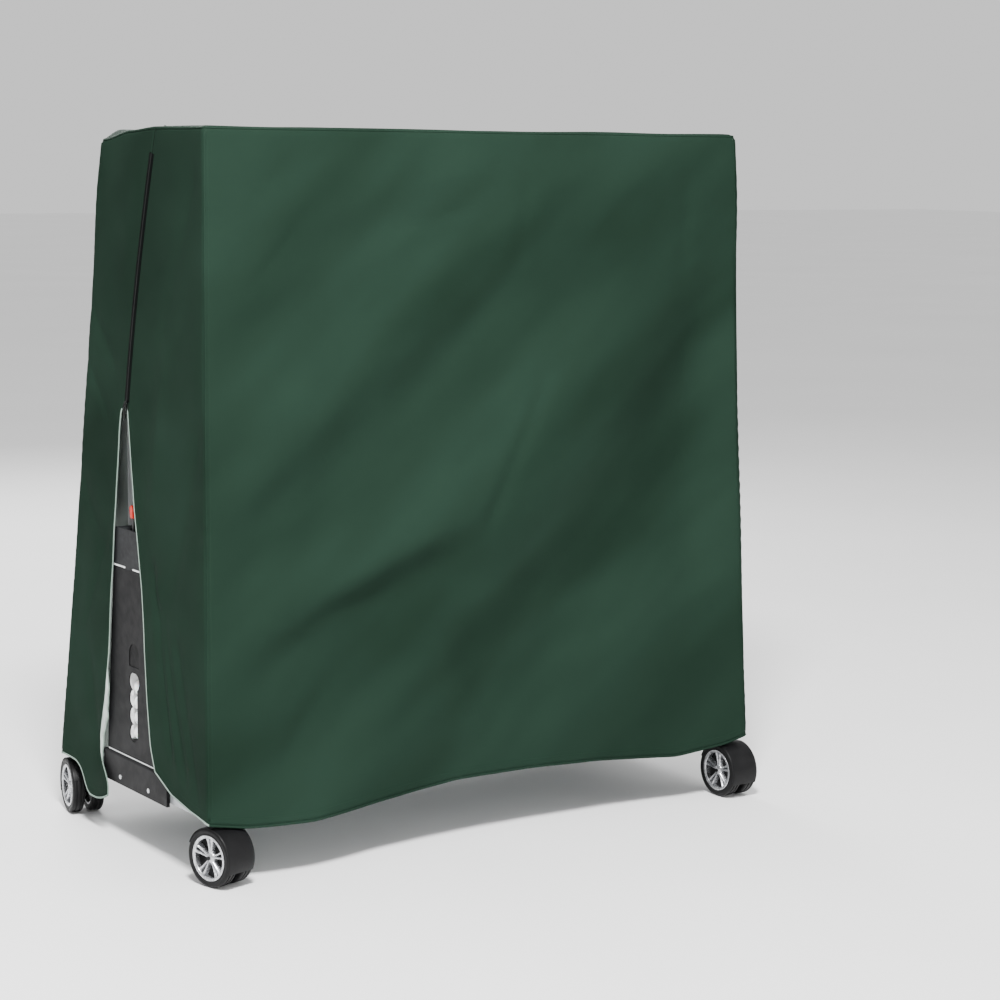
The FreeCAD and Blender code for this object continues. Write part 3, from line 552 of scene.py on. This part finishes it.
def shell(grid, normals, thickness):
    """Points and faces of a closed sheet under a grid of points."""
    columns, rows = grid.shape[:2]
    count = columns * rows
    points = np.concatenate([grid.reshape(-1, 3), (grid - normals * thickness).reshape(-1, 3)])
    faces = grid_faces(columns, rows, 0, False) + grid_faces(columns, rows, count, True)
    index = np.arange(count).reshape(columns, rows)
    rim = np.concatenate([index[:, 0], index[-1, 1:], index[-2::-1, -1], index[0, -2:0:-1]])
    for here, there in zip(rim, np.roll(rim, -1)):
        faces.append((here, here + count, there + count, there))
    return points, faces


def tube_faces(rings, count):
    """Faces of a tube through rings of points, capped at both ends."""
    faces = []
    for i in range(rings - 1):
        for k in range(count):
            m = (k + 1) % count
            faces.append((i * count + k, i * count + m, (i + 1) * count + m, (i + 1) * count + k))
    return faces + [tuple(range(count))[::-1], tuple(range((rings - 1) * count, rings * count))]


def band(path, normals, width, height, lift=0.0, sides=8):
    """A strip with a rounded section along a path, lying across its normals."""
    path = np.asarray(path)
    tangent = np.gradient(path, axis=0)
    tangent /= np.linalg.norm(tangent, axis=-1, keepdims=True) + 1e-12
    across = np.cross(tangent, normals)
    across /= np.linalg.norm(across, axis=-1, keepdims=True) + 1e-12
    up = np.cross(across, tangent)
    rings = []
    for k in range(sides):
        angle = 2 * math.pi * (k + 0.5) / sides
        outer = across * (math.cos(angle) * width / 2)
        rings.append(path + outer + up * (math.sin(angle) * height / 2 + lift))
    return np.stack(rings, 1).reshape(-1, 3), tube_faces(len(path), sides)


def run_along(path):
    """How far along a path each of its points is."""
    return np.concatenate([[0], np.cumsum(np.linalg.norm(np.diff(path, axis=0), axis=1))])


def read_path(at, run, values):
    """Reads points or normals at distances along a path."""
    return np.stack([np.interp(at, run, values[:, k]) for k in range(3)], -1)


def stitches(path, normals):
    """A row of sewn stitches along a path, each a small eight-sided grain of thread."""
    run = run_along(path)
    half = STITCH_LENGTH / 2
    points, faces = [], []
    for centre in np.arange(STITCH_PITCH, run[-1] - STITCH_PITCH, STITCH_PITCH):
        ends = [Vector(read_path(at, run, path)) for at in (centre - half, centre, centre + half)]
        lift = Vector(read_path(centre, run, normals)).normalized() * STITCH_RADIUS
        along = (ends[2] - ends[0]).normalized()
        aside = along.cross(lift).normalized() * STITCH_RADIUS
        base = len(points)
        points += [ends[0], ends[1] + aside, ends[1] + lift * 1.4, ends[1] - aside, ends[1] - lift, ends[2]]
        for a, b in ((1, 2), (2, 3), (3, 4), (4, 1)):
            faces += [(base, base + b, base + a), (base + 5, base + a, base + b)]
    return [tuple(p) for p in points], faces


def mirrored(half):
    """A closed outline, symmetric about zero in its first value, from its positive half."""
    other = [(-first, second) for first, second in half]
    return other[:1] + half + other[:0:-1]


def lathe(profile, turns, first=0.0, last=2 * math.pi):
    """Turns a closed outline of (offset, radius) about the X axis, fully or through part of a turn."""
    full = abs(last - first) > 2 * math.pi - 1e-6
    angles = [first + (last - first) * i / turns for i in range(turns if full else turns + 1)]
    count = len(profile)
    points = [(o, r * math.cos(a), r * math.sin(a)) for a in angles for o, r in profile]
    faces = []
    for i in range(turns):
        j = (i + 1) % len(angles)
        for k in range(count):
            m = (k + 1) % count
            faces.append((i * count + k, j * count + k, j * count + m, i * count + m))
    if not full:
        faces.append(tuple(range(count)))
        faces.append(tuple(range(turns * count, (turns + 1) * count))[::-1])
    return points, faces


def merge(*parts):
    """Joins lists of points and faces into one."""
    points, faces = [], []
    for some_points, some_faces in parts:
        base = len(points)
        points += [tuple(p) for p in some_points]
        faces += [tuple(i + base for i in f) for f in some_faces]
    return points, faces


def moved(part, matrix):
    points, faces = part
    return [tuple(matrix @ Vector(p)) for p in points], faces


def block(x0, x1, y0, y1, z0, z1, edge):
    """A bar along Y whose long edges and ends are rounded off."""
    section = [(x0 + edge, z0), (x1 - edge, z0), (x1, z0 + edge), (x1, z1 - edge),
               (x1 - edge, z1), (x0 + edge, z1), (x0, z1 - edge), (x0, z0 + edge)]
    middle_x, middle_z = (x0 + x1) / 2, (z0 + z1) / 2
    points = []
    for y, share in ((y0, 0.55), (y0 + edge, 1.0), (y1 - edge, 1.0), (y1, 0.55)):
        for x, z in section:
            points.append((middle_x + (x - middle_x) * share, y, middle_z + (z - middle_z) * share))
    return points, tube_faces(4, len(section))


# ======== the cover's shape ========

def rise(z):
    """0 at the hem's level, 1 at the top."""
    return (z - HEM_Z) / (CEILING - HEM_Z)


def end_x(z):
    return HEM_X + (TOP_X - HEM_X) * rise(z)


def edge_y(side, z):
    top = TOP_FRONT if side < 0 else TOP_BACK
    return side * HEM_Y + (top - side * HEM_Y) * rise(z)


def zip_y(z):
    share = np.clip((z - APEX_Z) / (CEILING - APEX_Z), 0, 1)
    return APEX_Y + (ZIP_TOP_Y - APEX_Y) * share + 4 * ZIP_BULGE * share * (1 - share)


def slit_y(side, z):
    """Y of the free edge of a left flap, and of the zip above it."""
    table = FRONT_SLIT if side < 0 else BACK_SLIT
    last = max(table)[0]
    return np.where(z > last, zip_y(z), between(table, z))


def right_y(z):
    return RIGHT_TOP_Y * rise(z)


def wall_grid(side):
    """Upright part of one half of the cover, from the middle of the right end round to the slit."""
    up = np.linspace(0, 1, WALL_ROWS + 1)[None, :]
    end = np.linspace(0, 1, END_COLUMNS + 1)[:, None]
    long = np.linspace(0, 1, LONG_COLUMNS + 1)[:, None]
    stretches = []
    hem = between(RIGHT_HEM, side * HEM_Y * end)
    z = hem + (CEILING - hem) * up
    stretches.append((end_x(z), right_y(z) + end * (edge_y(side, z) - right_y(z)), z))
    hem = between(FRONT_HEM if side < 0 else BACK_HEM, HEM_X * (1 - 2 * long))
    z = hem + (CEILING - hem) * up
    stretches.append((end_x(z) * (1 - 2 * long), edge_y(side, z) + 0 * long, z))
    table = FRONT_FLAP_HEM if side < 0 else BACK_FLAP_HEM
    limit = (FRONT_SLIT if side < 0 else BACK_SLIT)[0][1]
    hem = between(table, side * HEM_Y + (limit - side * HEM_Y) * end)
    z = hem + (CEILING - hem) * up
    stretches.append((-end_x(z), edge_y(side, z) + end * (slit_y(side, z) - edge_y(side, z)), z))
    grids = [np.stack(np.broadcast_arrays(*s), -1) for s in stretches]
    return np.concatenate([grids[0], grids[1][1:], grids[2][1:]])


def with_top(wall):
    """Adds the top, which closes from the walls' upper edge to the middle seam."""
    columns = len(wall)
    x = TOP_X * TOP_SEAM_SHARE * (1 - 2 * np.arange(columns) / (columns - 1))
    seam = RIGHT_TOP_Y + (ZIP_TOP_Y - RIGHT_TOP_Y) * (TOP_X - x) / (2 * TOP_X)
    target = np.stack([x, seam, np.full(columns, CEILING)], -1)[:, None, :]
    share = np.linspace(0, 1, TOP_ROWS + 1)[1:][None, :, None]
    return np.concatenate([wall, wall[:, -1:] * (1 - share) + target * share], axis=1)


def long_folds(points, side):
    """Folds of a long wall: broad slanting ones, small creases and a loose lower edge."""
    x = points[..., 0] * -side
    z = points[..., 2]
    wander = FOLD_WANDER * ripple(points, 0.50, 21 - side)
    depth = np.full(z.shape, FOLD_OUT)
    for line in BROAD_FOLDS:
        depth += broad_fold(x + wander, z + wander, line)
    if side < 0:
        for line in CREASES:
            depth += crease(x, z, line)
    depth += 0.0014 * ripple(points, 0.16, 24) + 0.0005 * ripple(points, 0.06, 25)
    low = 1 - smooth_step((z - HEM_Z) / LOOSE_HEIGHT)
    depth += low * (0.006 * np.sin(x * 9.0 + 0.6) + 0.003 * ripple(points, 0.2, 26))
    return depth


def end_folds(points):
    """Folds of the ends: upright ones that open towards the hem."""
    y, z = points[..., 1], points[..., 2]
    loose = 0.25 + 0.75 * (1 - smooth_step((z - HEM_Z) / 1.2))
    wander = y + 0.05 * ripple(points, 0.50, 31)
    depth = loose * (0.5 + 0.5 * ripple(points, 0.35, 34))
    depth = depth * END_FOLD_DEPTH * np.sin(2 * math.pi * wander / END_FOLD_PITCH)
    for line in END_CREASES:
        depth += crease(y, z, line)
    depth += 0.0022 * ripple(points * np.array([1, 1, 0.6]), 0.24, 32)
    return depth + 0.0004 * ripple(points, 0.08, 33)


def puckers(points):
    """Short level wrinkles where the corner seams draw the cloth together."""
    x, y, z = points[..., 0], points[..., 1], points[..., 2]
    side = np.where(y < (TOP_FRONT + TOP_BACK) / 2, -1, 1)
    gap = np.hypot(np.abs(x) - end_x(z), np.where(side < 0, y - edge_y(-1, z), y - edge_y(1, z)))
    wave = np.sin(2 * math.pi * z / PUCKER_PITCH + 3.0 * ripple(points, 0.15, 41))
    patchy = 0.5 + 0.5 * ripple(points, 0.22, 42)
    return PUCKER_DEPTH * patchy * wave * np.exp(-(gap / PUCKER_REACH) ** 2)


def top_lift(points):
    """The top edge stands a little high in front, and droops at the two back corners."""
    x, y, z = points[..., 0], points[..., 1], points[..., 2]
    ahead = 1 - smooth_step((y - ZIP_TOP_Y) / 0.16)
    lift = TOP_LIFT * ahead * smooth_step((z - CEILING + 0.30) / 0.30)
    out = smooth_step((np.abs(x) - 0.776) / 0.045)
    droop = CORNER_DROOP * out * smooth_step((y - 0.03) / 0.17) * smooth_step((z - CEILING + 0.20) / 0.20)
    return lift - droop


def cover_grid(side):
    """Final outer face of one half of the cover, and its normals."""
    grid = with_top(wall_grid(side))
    grid = soften(soften(grid, 0, SOFTENING), 1, SOFTENING)
    normals = outward(grid) * side
    weight = normals ** 2
    z = grid[..., 2]
    # The folds die away towards the top edge, the corners and the zip.
    calm_top = smooth_step((CEILING + 0.004 - z) / 0.16)
    corner = np.minimum(np.abs(np.abs(grid[..., 0]) - end_x(z)) + (1 - weight[..., 1]) * 0.2, 1)
    calm_side = 0.06 + 0.94 * smooth_step(corner / 0.20)
    depth = weight[..., 1] * long_folds(grid, side) * calm_top * calm_side
    near_edge = np.minimum(np.abs(grid[..., 1] - edge_y(-1, z)), np.abs(grid[..., 1] - edge_y(1, z)))
    near_zip = np.abs(grid[..., 1] - zip_y(z)) + 10 * (grid[..., 0] > 0) + np.maximum(0, APEX_Z - z)
    calm_end = (0.3 + 0.7 * calm_top) * (0.3 + 0.7 * smooth_step(near_edge / 0.06))
    calm_end *= smooth_step(near_zip / 0.09)
    depth += weight[..., 0] * end_folds(grid) * calm_end
    depth += puckers(grid) * (0.25 + 0.75 * calm_top)
    depth += weight[..., 2] * 0.0015 * (1.0 + ripple(grid, 0.25, 51))
    grid = grid + normals * depth[..., None]
    grid[..., 2] += top_lift(grid)
    return grid, outward(grid) * side


def soft(obj):
    """Gives a piece of the cover its own copy of its mesh."""
    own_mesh(obj)
    return obj


def trim_cover(name, side, grid, normals):
    """Binding, hem, seams and stitching of one half of the cover."""
    slit_row = int(np.argmax(grid[-1, :, 2] > APEX_Z - 0.004))
    first, second = END_COLUMNS, END_COLUMNS + LONG_COLUMNS
    wall = WALL_ROWS
    both = np.stack([grid, normals])
    # Free edges: the left flap's hem and slit edge are bound, the rest of the hem is plain.
    edge, facing = np.concatenate([both[:, second:, 0], both[:, -1, 1:slit_row]], axis=1)
    binding = band(edge - facing * CLOTH / 2, facing, *BINDING_STRIP)
    edge, facing = both[:, :second + 1, 0]
    hem = band(edge - facing * CLOTH / 2, facing, *HEM_STRIP)
    seams = [band(*both[:, c, 1:wall], *CORNER_SEAM) for c in (first, second)]
    seams.append(band(*both[:, :, wall], *TOP_EDGE_SEAM))
    if side < 0:
        seams.append(band(*both[:, :, -1], *TOP_MIDDLE_SEAM))
        seams.append(band(*both[:, 0, 1:wall], *END_SEAM))
    rows = [stitches(*both[:, :, 2])]
    for column in (first - 1, first + 1, second - 1, second + 1):
        rows.append(stitches(*both[:, column, 2:wall - 1]))
    rows.append(stitches(*both[:, :, wall - 1]))
    rows.append(stitches(*both[:, -2, 2:wall]))
    made = []
    for kind, part, material in (("binding", binding, BINDING), ("hem", hem, FABRIC),
                                 ("seams", merge(*seams), FABRIC), ("stitching", merge(*rows), THREAD)):
        obj = piece("cover_" + kind + "_" + name, *part, material, "cover", "cover_fabric")
        made.append(soft(obj))
    return made


def zip_pieces(grid, normals):
    """Zip tape and its coil, from the slit to near the top."""
    z = grid[-1, :, 2]
    rows = (z > APEX_Z + 0.002) & (z < CEILING - ZIP_TOP_GAP) & (np.arange(len(z)) < WALL_ROWS - 4)
    path, facing = grid[-1, rows], normals[-1, rows]
    tape = band(path, facing, *ZIP_TAPE_STRIP, lift=0.0001)
    tape = piece("zip_tape", *tape, ZIP_TAPE, "cover", "cover_fabric")
    run = run_along(path)
    fine = np.arange(0, run[-1], COIL_PITCH)
    wobble = COIL_WOBBLE * np.where(np.arange(len(fine)) % 2 == 0, 1, -1)[:, None] * np.array([0, 1.0, 0])
    coil = band(read_path(fine, run, path) + wobble, read_path(fine, run, facing), *ZIP_COIL_STRIP, 0.0010, 6)
    coil = piece("zip_coil", *coil, ZIP_METAL, "cover", "zip_metal")
    return [soft(tape), soft(coil)]


def lining_fold(grid, normals):
    """Turned edge of the back flap, which curls towards the tower and shows the pale lining."""
    z = grid[-1, :, 2]
    rows = (z > LINING_LOW) & (z < LINING_HIGH)
    path, facing = grid[-1, rows], normals[-1, rows]
    share = np.linspace(0, 1, rows.sum())
    uneven = 1 + 0.30 * np.sin(share * 17.0) + 0.2 * np.sin(share * 41.0)
    width = LINING_TURN * np.sin(math.pi * share) ** 1.2 * uneven + 0.002
    swell = np.sin(math.pi * share) ** 0.7
    strips = []
    for across, lift in LINING_SECTION:
        inward = np.array([0, 1.0, 0]) * (across * width)[:, None]
        strips.append(path - inward + facing * (lift * swell)[:, None])
    curl = np.stack(strips, 0)
    facing_out = outward(curl)
    if facing_out[..., 0].mean() > 0:
        curl = curl[::-1]
        facing_out = outward(curl)
    turn = shell(curl, facing_out, LINING_THICKNESS)
    turn = piece("cover_lining_turn", *turn, LINING, "cover", "cover_fabric")
    edge = band(strips[-1], facing, *LINING_EDGE)
    edge = piece("cover_lining_edge", *edge, BINDING, "cover", "cover_fabric")
    return [soft(turn), soft(edge)]


def line_inside(cloth, shape):
    """Gives the inner faces of a cloth shell's walls the pale lining."""
    cloth.data.materials.append(LINING)
    rows = shape[1] - 1
    count = (shape[0] - 1) * rows
    index = np.zeros(len(cloth.data.polygons), np.int32)
    index[count:2 * count] = np.arange(count) % rows < WALL_ROWS - 6
    cloth.data.polygons.foreach_set("material_index", index)


def make_cover():
    """The two cloths of the cover, each with its strips and stitches."""
    for name, side in (("front", -1), ("back", 1)):
        grid, normals = cover_grid(side)
        base = grid if side > 0 else grid[::-1]
        facing = normals if side > 0 else normals[::-1]
        cloth = piece("cover_cloth_" + name, *shell(base, facing, CLOTH), FABRIC, "cover", "cover_fabric")
        line_inside(cloth, base.shape)
        soft(cloth)
        extras = trim_cover(name, side, grid, normals)
        if side < 0:
            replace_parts(cloth, "cover_front", "cover_left_front_flap", "cover_top")
            extras += zip_pieces(grid, normals)
        else:
            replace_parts(cloth, "cover_back", "cover_left_back_flap", "cover_right_end")
            extras += lining_fold(grid, normals)


SLIDER_OUT = 0.0014  # the slider is drawn this far out, clear of the tape
BRIDGE_SECTION = mirrored([(0.0012, 0.0030), (0.0012, 0.0045)])
PULL_OUTLINE = mirrored([(0.0022, 0.0), (0.0036, -0.012), (0.0040, -0.026), (0.0026, -0.033)])
PULL_LAYERS = ((-0.0008, 0.85), (-0.0005, 1.0), (0.0005, 1.0), (0.0008, 0.85))  # offset, size


def make_slider():
    """Zip slider with its bridge, and the pull that hangs from it."""
    low, high = SLIDER_LOW, SLIDER_HIGH
    x = (low.x + high.x) / 2 - SLIDER_OUT
    y = (low.y + high.y) / 2
    body = block(x - 0.0024, x + 0.0020, y - 0.0055, y + 0.0055, high.z - 0.017, high.z - 0.001, 0.0014)
    place = Matrix.Translation((x - 0.0026, y, high.z - 0.012)) @ Matrix.Rotation(math.pi / 2, 4, "Z")
    bridge = moved(lathe(BRIDGE_SECTION, 20), place)
    points = []
    for dx, share in PULL_LAYERS:
        for dy, dz in PULL_OUTLINE:
            points.append((x - 0.0034 + dx, y + dy * share, high.z - 0.0160 + dz * (0.97 + 0.03 * share)))
    pull = points, tube_faces(len(PULL_LAYERS), len(PULL_OUTLINE))
    slider = piece("zip_pull", *merge(body, bridge, pull), ZIP_METAL, "zip", "zip_metal", 45)
    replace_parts(slider, "zip_slider")
    soft(slider)


# ======== casters ========

# Outlines as (along the axle, radius).
TYRE_PROFILE = metres(10000, [(-165, 582), (-170, 600), (-170, 680), (-166, 705), (-156, 726), (-138, 741),
                              (-112, 749), (-80, 750), (-74, 747), (-70, 726), (-46, 726), (-42, 747),
                              (-36, 750), (36, 750), (42, 747), (46, 726), (70, 726), (74, 747), (80, 750),
                              (112, 749), (138, 741), (156, 726), (166, 705), (170, 680), (170, 640),
                              (164, 634), (164, 620), (170, 612), (170, 598), (165, 582)])
RING_PROFILE = metres(10000, [(-150, 580), (-150, 535), (50, 525), (92, 512), (118, 500), (138, 496),
                              (154, 504), (164, 524), (167, 550), (162, 572), (152, 580)])
HUB_PROFILE = metres(10000, [(-150, 54), (-150, 150), (40, 150), (78, 138), (106, 112), (118, 80), (124, 62),
                             (140, 56), (146, 36), (148, 4), (60, 4)])
WEB_PROFILE = metres(10000, [(-60, 148), (-20, 148), (-30, 330), (-10, 522), (-60, 522)])
HOOD_PROFILE = mirrored(metres(10000, [(90, 600), (94, 735), (110, 753), (375, 753), (420, 740), (432, 744),
                                       (436, 755), (425, 764), (380, 768)]))
HOOD_LOW, HOOD_HIGH = math.radians(-24), math.radians(158)
RACE_PROFILE = mirrored(metres(10000, [(36, 236), (40, 262), (24, 282)]))
RACE_Z = 0.1557
SPOKE_PAIRS = 5
SPOKE_LEAN = math.radians(9)
# Stations of a spoke as (radius, half width, face).
SPOKE_STATIONS = [(0.0125, 0.0030, 0.0108), (0.0220, 0.0026, 0.0100), (0.0380, 0.0030, 0.0112),
                  (0.0515, 0.0042, 0.0138)]
SPOKE_BACK, SPOKE_SHOULDER = -0.002, 0.0022


def spoke(angle):
    """One arm of a spoke pair: narrow in the middle, deeper and wider towards the ring."""
    points = []
    for radius, half, face in SPOKE_STATIONS:
        shoulder = face - SPOKE_SHOULDER
        section = ((-1.25, SPOKE_BACK), (-1.0, shoulder), (-0.45, face), (0.45, face), (1.0, shoulder),
                   (1.25, SPOKE_BACK))
        for aside, height in section:
            across = aside * half
            points.append((height, radius * math.cos(angle) - across * math.sin(angle),
                           radius * math.sin(angle) + across * math.cos(angle)))
    return points, tube_faces(len(SPOKE_STATIONS), len(section))


def wheel_matrix(centre, axle):
    """Turns the lathe's X axis to the axle, outer face outwards."""
    out = Vector(axle).normalized()
    up = Vector((0, 0, 1))
    side = up.cross(out).normalized()
    matrix = Matrix((out, side, up)).transposed().to_4x4()
    matrix.translation = centre
    return matrix


def middle_of(node):
    low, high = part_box(node)
    return (low + high) / 2


def make_wheel(corner, which, axle_middle):
    """One wheel of a twin caster: tyre, spoked centre, and behind the spokes a black web that paints the
    shade of the recesses between them.
    """
    end = f"_{which}_{corner}"
    body = "wheel" + end
    centre = middle_of("tyre" + end)
    matrix = wheel_matrix(centre, centre - axle_middle)
    tyre = moved(lathe(TYRE_PROFILE, 96), matrix)
    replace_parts(piece("tyre_detail" + end, *tyre, RUBBER, body, "tyre_rubber", 50), "tyre" + end)
    parts = [lathe(RING_PROFILE, 96), lathe(HUB_PROFILE, 48)]
    for index in range(SPOKE_PAIRS):
        middle = 2 * math.pi * index / SPOKE_PAIRS + math.pi / 2
        parts += [spoke(middle - SPOKE_LEAN), spoke(middle + SPOKE_LEAN)]
    rim = moved(merge(*parts), matrix)
    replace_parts(piece("rim_detail" + end, *rim, SILVER, body, "rim_silver", 35), "rim" + end)
    # painted shade: the web is black so that the recess between the silver spokes reads dark
    piece("rim_shade_web" + end, *moved(lathe(WEB_PROFILE, 64), matrix), FORK, body, "fork_plastic", 40)


def make_casters():
    """The wheels, and on each fork a hood over them and a bright ring round the swivel."""
    joints = {joint["name"]: joint for joint in frame["joints"]}
    for corner in ("front_left", "front_right", "back_left", "back_right"):
        swivel = joints["swivel_" + corner]
        axle_middle = Vector(joints["spin_outer_" + corner]["pos_m"])
        for which in ("outer", "inner"):
            make_wheel(corner, which, axle_middle)
        turn = Vector(swivel["pos_m"])
        trail = Vector((turn.x - axle_middle.x, turn.y - axle_middle.y, 0)).normalized()
        axle = middle_of("tyre_outer_" + corner) - axle_middle
        matrix = wheel_matrix(axle_middle, axle)
        first, last = HOOD_LOW, HOOD_HIGH
        if (matrix.to_3x3().inverted() @ trail).y > 0:
            first, last = math.pi - HOOD_HIGH, math.pi - HOOD_LOW
        hood = lathe(HOOD_PROFILE, 60, first, last)
        piece("caster_hood_" + corner, *moved(hood, matrix), FORK, "swivel_" + corner, "fork_plastic", 50)
        upright = Matrix.Translation((turn.x, turn.y, RACE_Z)) @ Matrix.Rotation(math.pi / 2, 4, "Y")
        race = moved(lathe(RACE_PROFILE, 48), upright)
        piece("swivel_race_" + corner, *race, SCREW, "swivel_" + corner, "fastener_steel", 50)


# ======== tower details and net ========

CAP_GAP = 0.007  # between a tower's panel and its cap
TRIM_DEPTH = 0.030
TRIM_NECK_HALF = 0.0212  # the upper strip leaves out the cap's neck
TRIM_EDGE = 0.0008
# Plates of a ball channel: depths behind the panel's skin, then Y about the balls' middle.
CHANNEL_INSET = 0.0034
CHANNEL_HEIGHT = 0.190
CHANNEL_EDGE = 0.0006
CHANNEL_PLATES = ((0.046, 0.044, -0.030, 0.030), (0.044, 0.0, 0.0262, 0.0282), (0.044, 0.0, -0.0372, -0.0352))


def make_trims():
    """Pale strips in the two joints of each tower's mouldings."""
    casing_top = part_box("base_casings")[1].z
    for name, end in (("left", -1), ("right", 1)):
        low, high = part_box("tower_panel_" + name)
        cap_low = high.z + CAP_GAP
        out = max(abs(low.x), abs(high.x))
        deep = out - TRIM_DEPTH
        x0, x1 = sorted((end * deep, end * (out - 0.0004)))
        half = high.y - 0.003
        lower = block(x0, x1, -half, half, casing_top + 0.0006, low.z - 0.0006, TRIM_EDGE)
        neck = middle_of("latch_lever_" + name).y
        top_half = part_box("tower_caps")[1].y - 0.0015
        uppers = []
        for y0, y1 in ((neck + TRIM_NECK_HALF, top_half), (-top_half, neck - TRIM_NECK_HALF)):
            uppers.append(block(x0, x1, y0, y1, high.z + 0.0008, cap_low - 0.0012, TRIM_EDGE))
        piece("tower_trim_" + name, *merge(lower, *uppers), TRIM, "chassis", "frame_steel", 40)


def make_ball_channels():
    """Pale channel behind each ball slot."""
    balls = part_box("spare_balls")
    middle, low_z = (balls[0].y + balls[1].y) / 2, balls[0].z
    for name, end in (("left", -1), ("right", 1)):
        low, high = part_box("tower_panel_" + name)
        face = max(abs(low.x), abs(high.x)) - CHANNEL_INSET
        plates = []
        for near, far, y0, y1 in CHANNEL_PLATES:
            x0, x1 = sorted((end * (face - near), end * (face - far)))
            plates.append(block(x0, x1, middle + y0, middle + y1, low_z + 0.002, low_z + CHANNEL_HEIGHT,
                                CHANNEL_EDGE))
        piece("ball_channel_" + name, *merge(*plates), TRIM, "chassis", "frame_steel", 40)


NET_SAG, NET_WAVE, NET_THICKNESS = 0.0035, 0.0016, 0.0010


def make_net():
    """The stretched net: sags a little between its posts."""
    low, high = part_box("net")
    across = np.linspace(low.x, high.x, 181)[:, None]
    up = np.linspace(0, 1, 17)[None, :]
    sag = NET_SAG * np.cos(np.pi * across / (2 * high.x)) * up
    z = low.z + (high.z - low.z) * up - sag
    y = low.y * 0.5 + NET_WAVE * np.sin(across * 23.0) * (1 - up)
    grid = np.stack(np.broadcast_arrays(across, y, z), -1)
    net = shell(grid, outward(grid), NET_THICKNESS)
    net = piece("net_cloth", *net, net_material(), "chassis", "net_fabric")
    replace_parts(net, "net")


# ======== camera, floor and light ========

CAMERA_PLACE = (-3.53842, -5.60549, 1.80423)
CAMERA_YAW, CAMERA_PITCH, CAMERA_ROLL = 0.59978, -0.14146, 0.01083
CAMERA_LENS, CAMERA_SENSOR = 87.11, 36
FLOOR_REACH = 60.0
# Each light: place, what it points at, size and power.
LIGHTS = {
    "key": ((-2.0, -3.3, 5.2), (0, -0.3, 0.9), 1.1, 900),
    "near": ((-3.9, -5.0, 1.4), (-0.85, 0.0, 0.5), 0.9, 70),
    "fill": ((5.5, -4.5, 3.0), (0, 0, 0.9), 4.0, 60),
    "back": ((1.0, 6.0, 4.5), (0, 0, 1.0), 4.0, 420),
}
STUDIO_GLOW = 0.90


def make_camera():
    level = math.cos(CAMERA_PITCH)
    ahead = Vector((math.sin(CAMERA_YAW) * level, math.cos(CAMERA_YAW) * level, math.sin(CAMERA_PITCH)))
    right = Vector((math.cos(CAMERA_YAW), -math.sin(CAMERA_YAW), 0))
    up = right.cross(ahead)
    x_axis = right * math.cos(CAMERA_ROLL) + up * math.sin(CAMERA_ROLL)
    y_axis = up * math.cos(CAMERA_ROLL) - right * math.sin(CAMERA_ROLL)
    data = bpy.data.cameras.new("camera")
    data.sensor_width = CAMERA_SENSOR
    data.lens = CAMERA_LENS
    camera = place_object("camera", data)
    matrix = Matrix((x_axis, y_axis, -ahead)).transposed().to_4x4()
    matrix.translation = CAMERA_PLACE
    camera.matrix_world = matrix
    bpy.context.scene.camera = camera


def make_floor():
    mesh = bpy.data.meshes.new("floor")
    corners = [(x * FLOOR_REACH, y * FLOOR_REACH, 0) for x, y in ((-1, -1), (1, -1), (1, 1), (-1, 1))]
    mesh.from_pydata(corners, [], [(0, 1, 2, 3)])
    paint = moulded("floor_paint", (240, 240, 240), (244, 244, 244), 2.0, 0.7, 0.01, 0.0001)
    mesh.materials.append(paint)
    place_object("floor", mesh)


def make_light(name, place, target, size, power):
    data = bpy.data.lights.new(name, "AREA")
    data.shape = "DISK"
    data.size = size
    data.energy = power
    lamp = place_object(name, data)
    lamp.location = place
    lamp.rotation_euler = (Vector(target) - Vector(place)).to_track_quat("-Z", "Y").to_euler()


def make_lights():
    world = bpy.data.worlds.new("studio")
    world.use_nodes = True
    background = world.node_tree.nodes["Background"]
    background.inputs["Color"].default_value = (1, 1, 1, 1)
    background.inputs["Strength"].default_value = STUDIO_GLOW
    bpy.context.scene.world = world
    for name, light in LIGHTS.items():
        make_light(name, *light)


dress_nodes()
make_camera()
make_floor()
make_lights()
make_cover()
make_slider()
make_casters()
make_trims()
make_ball_channels()
make_net()
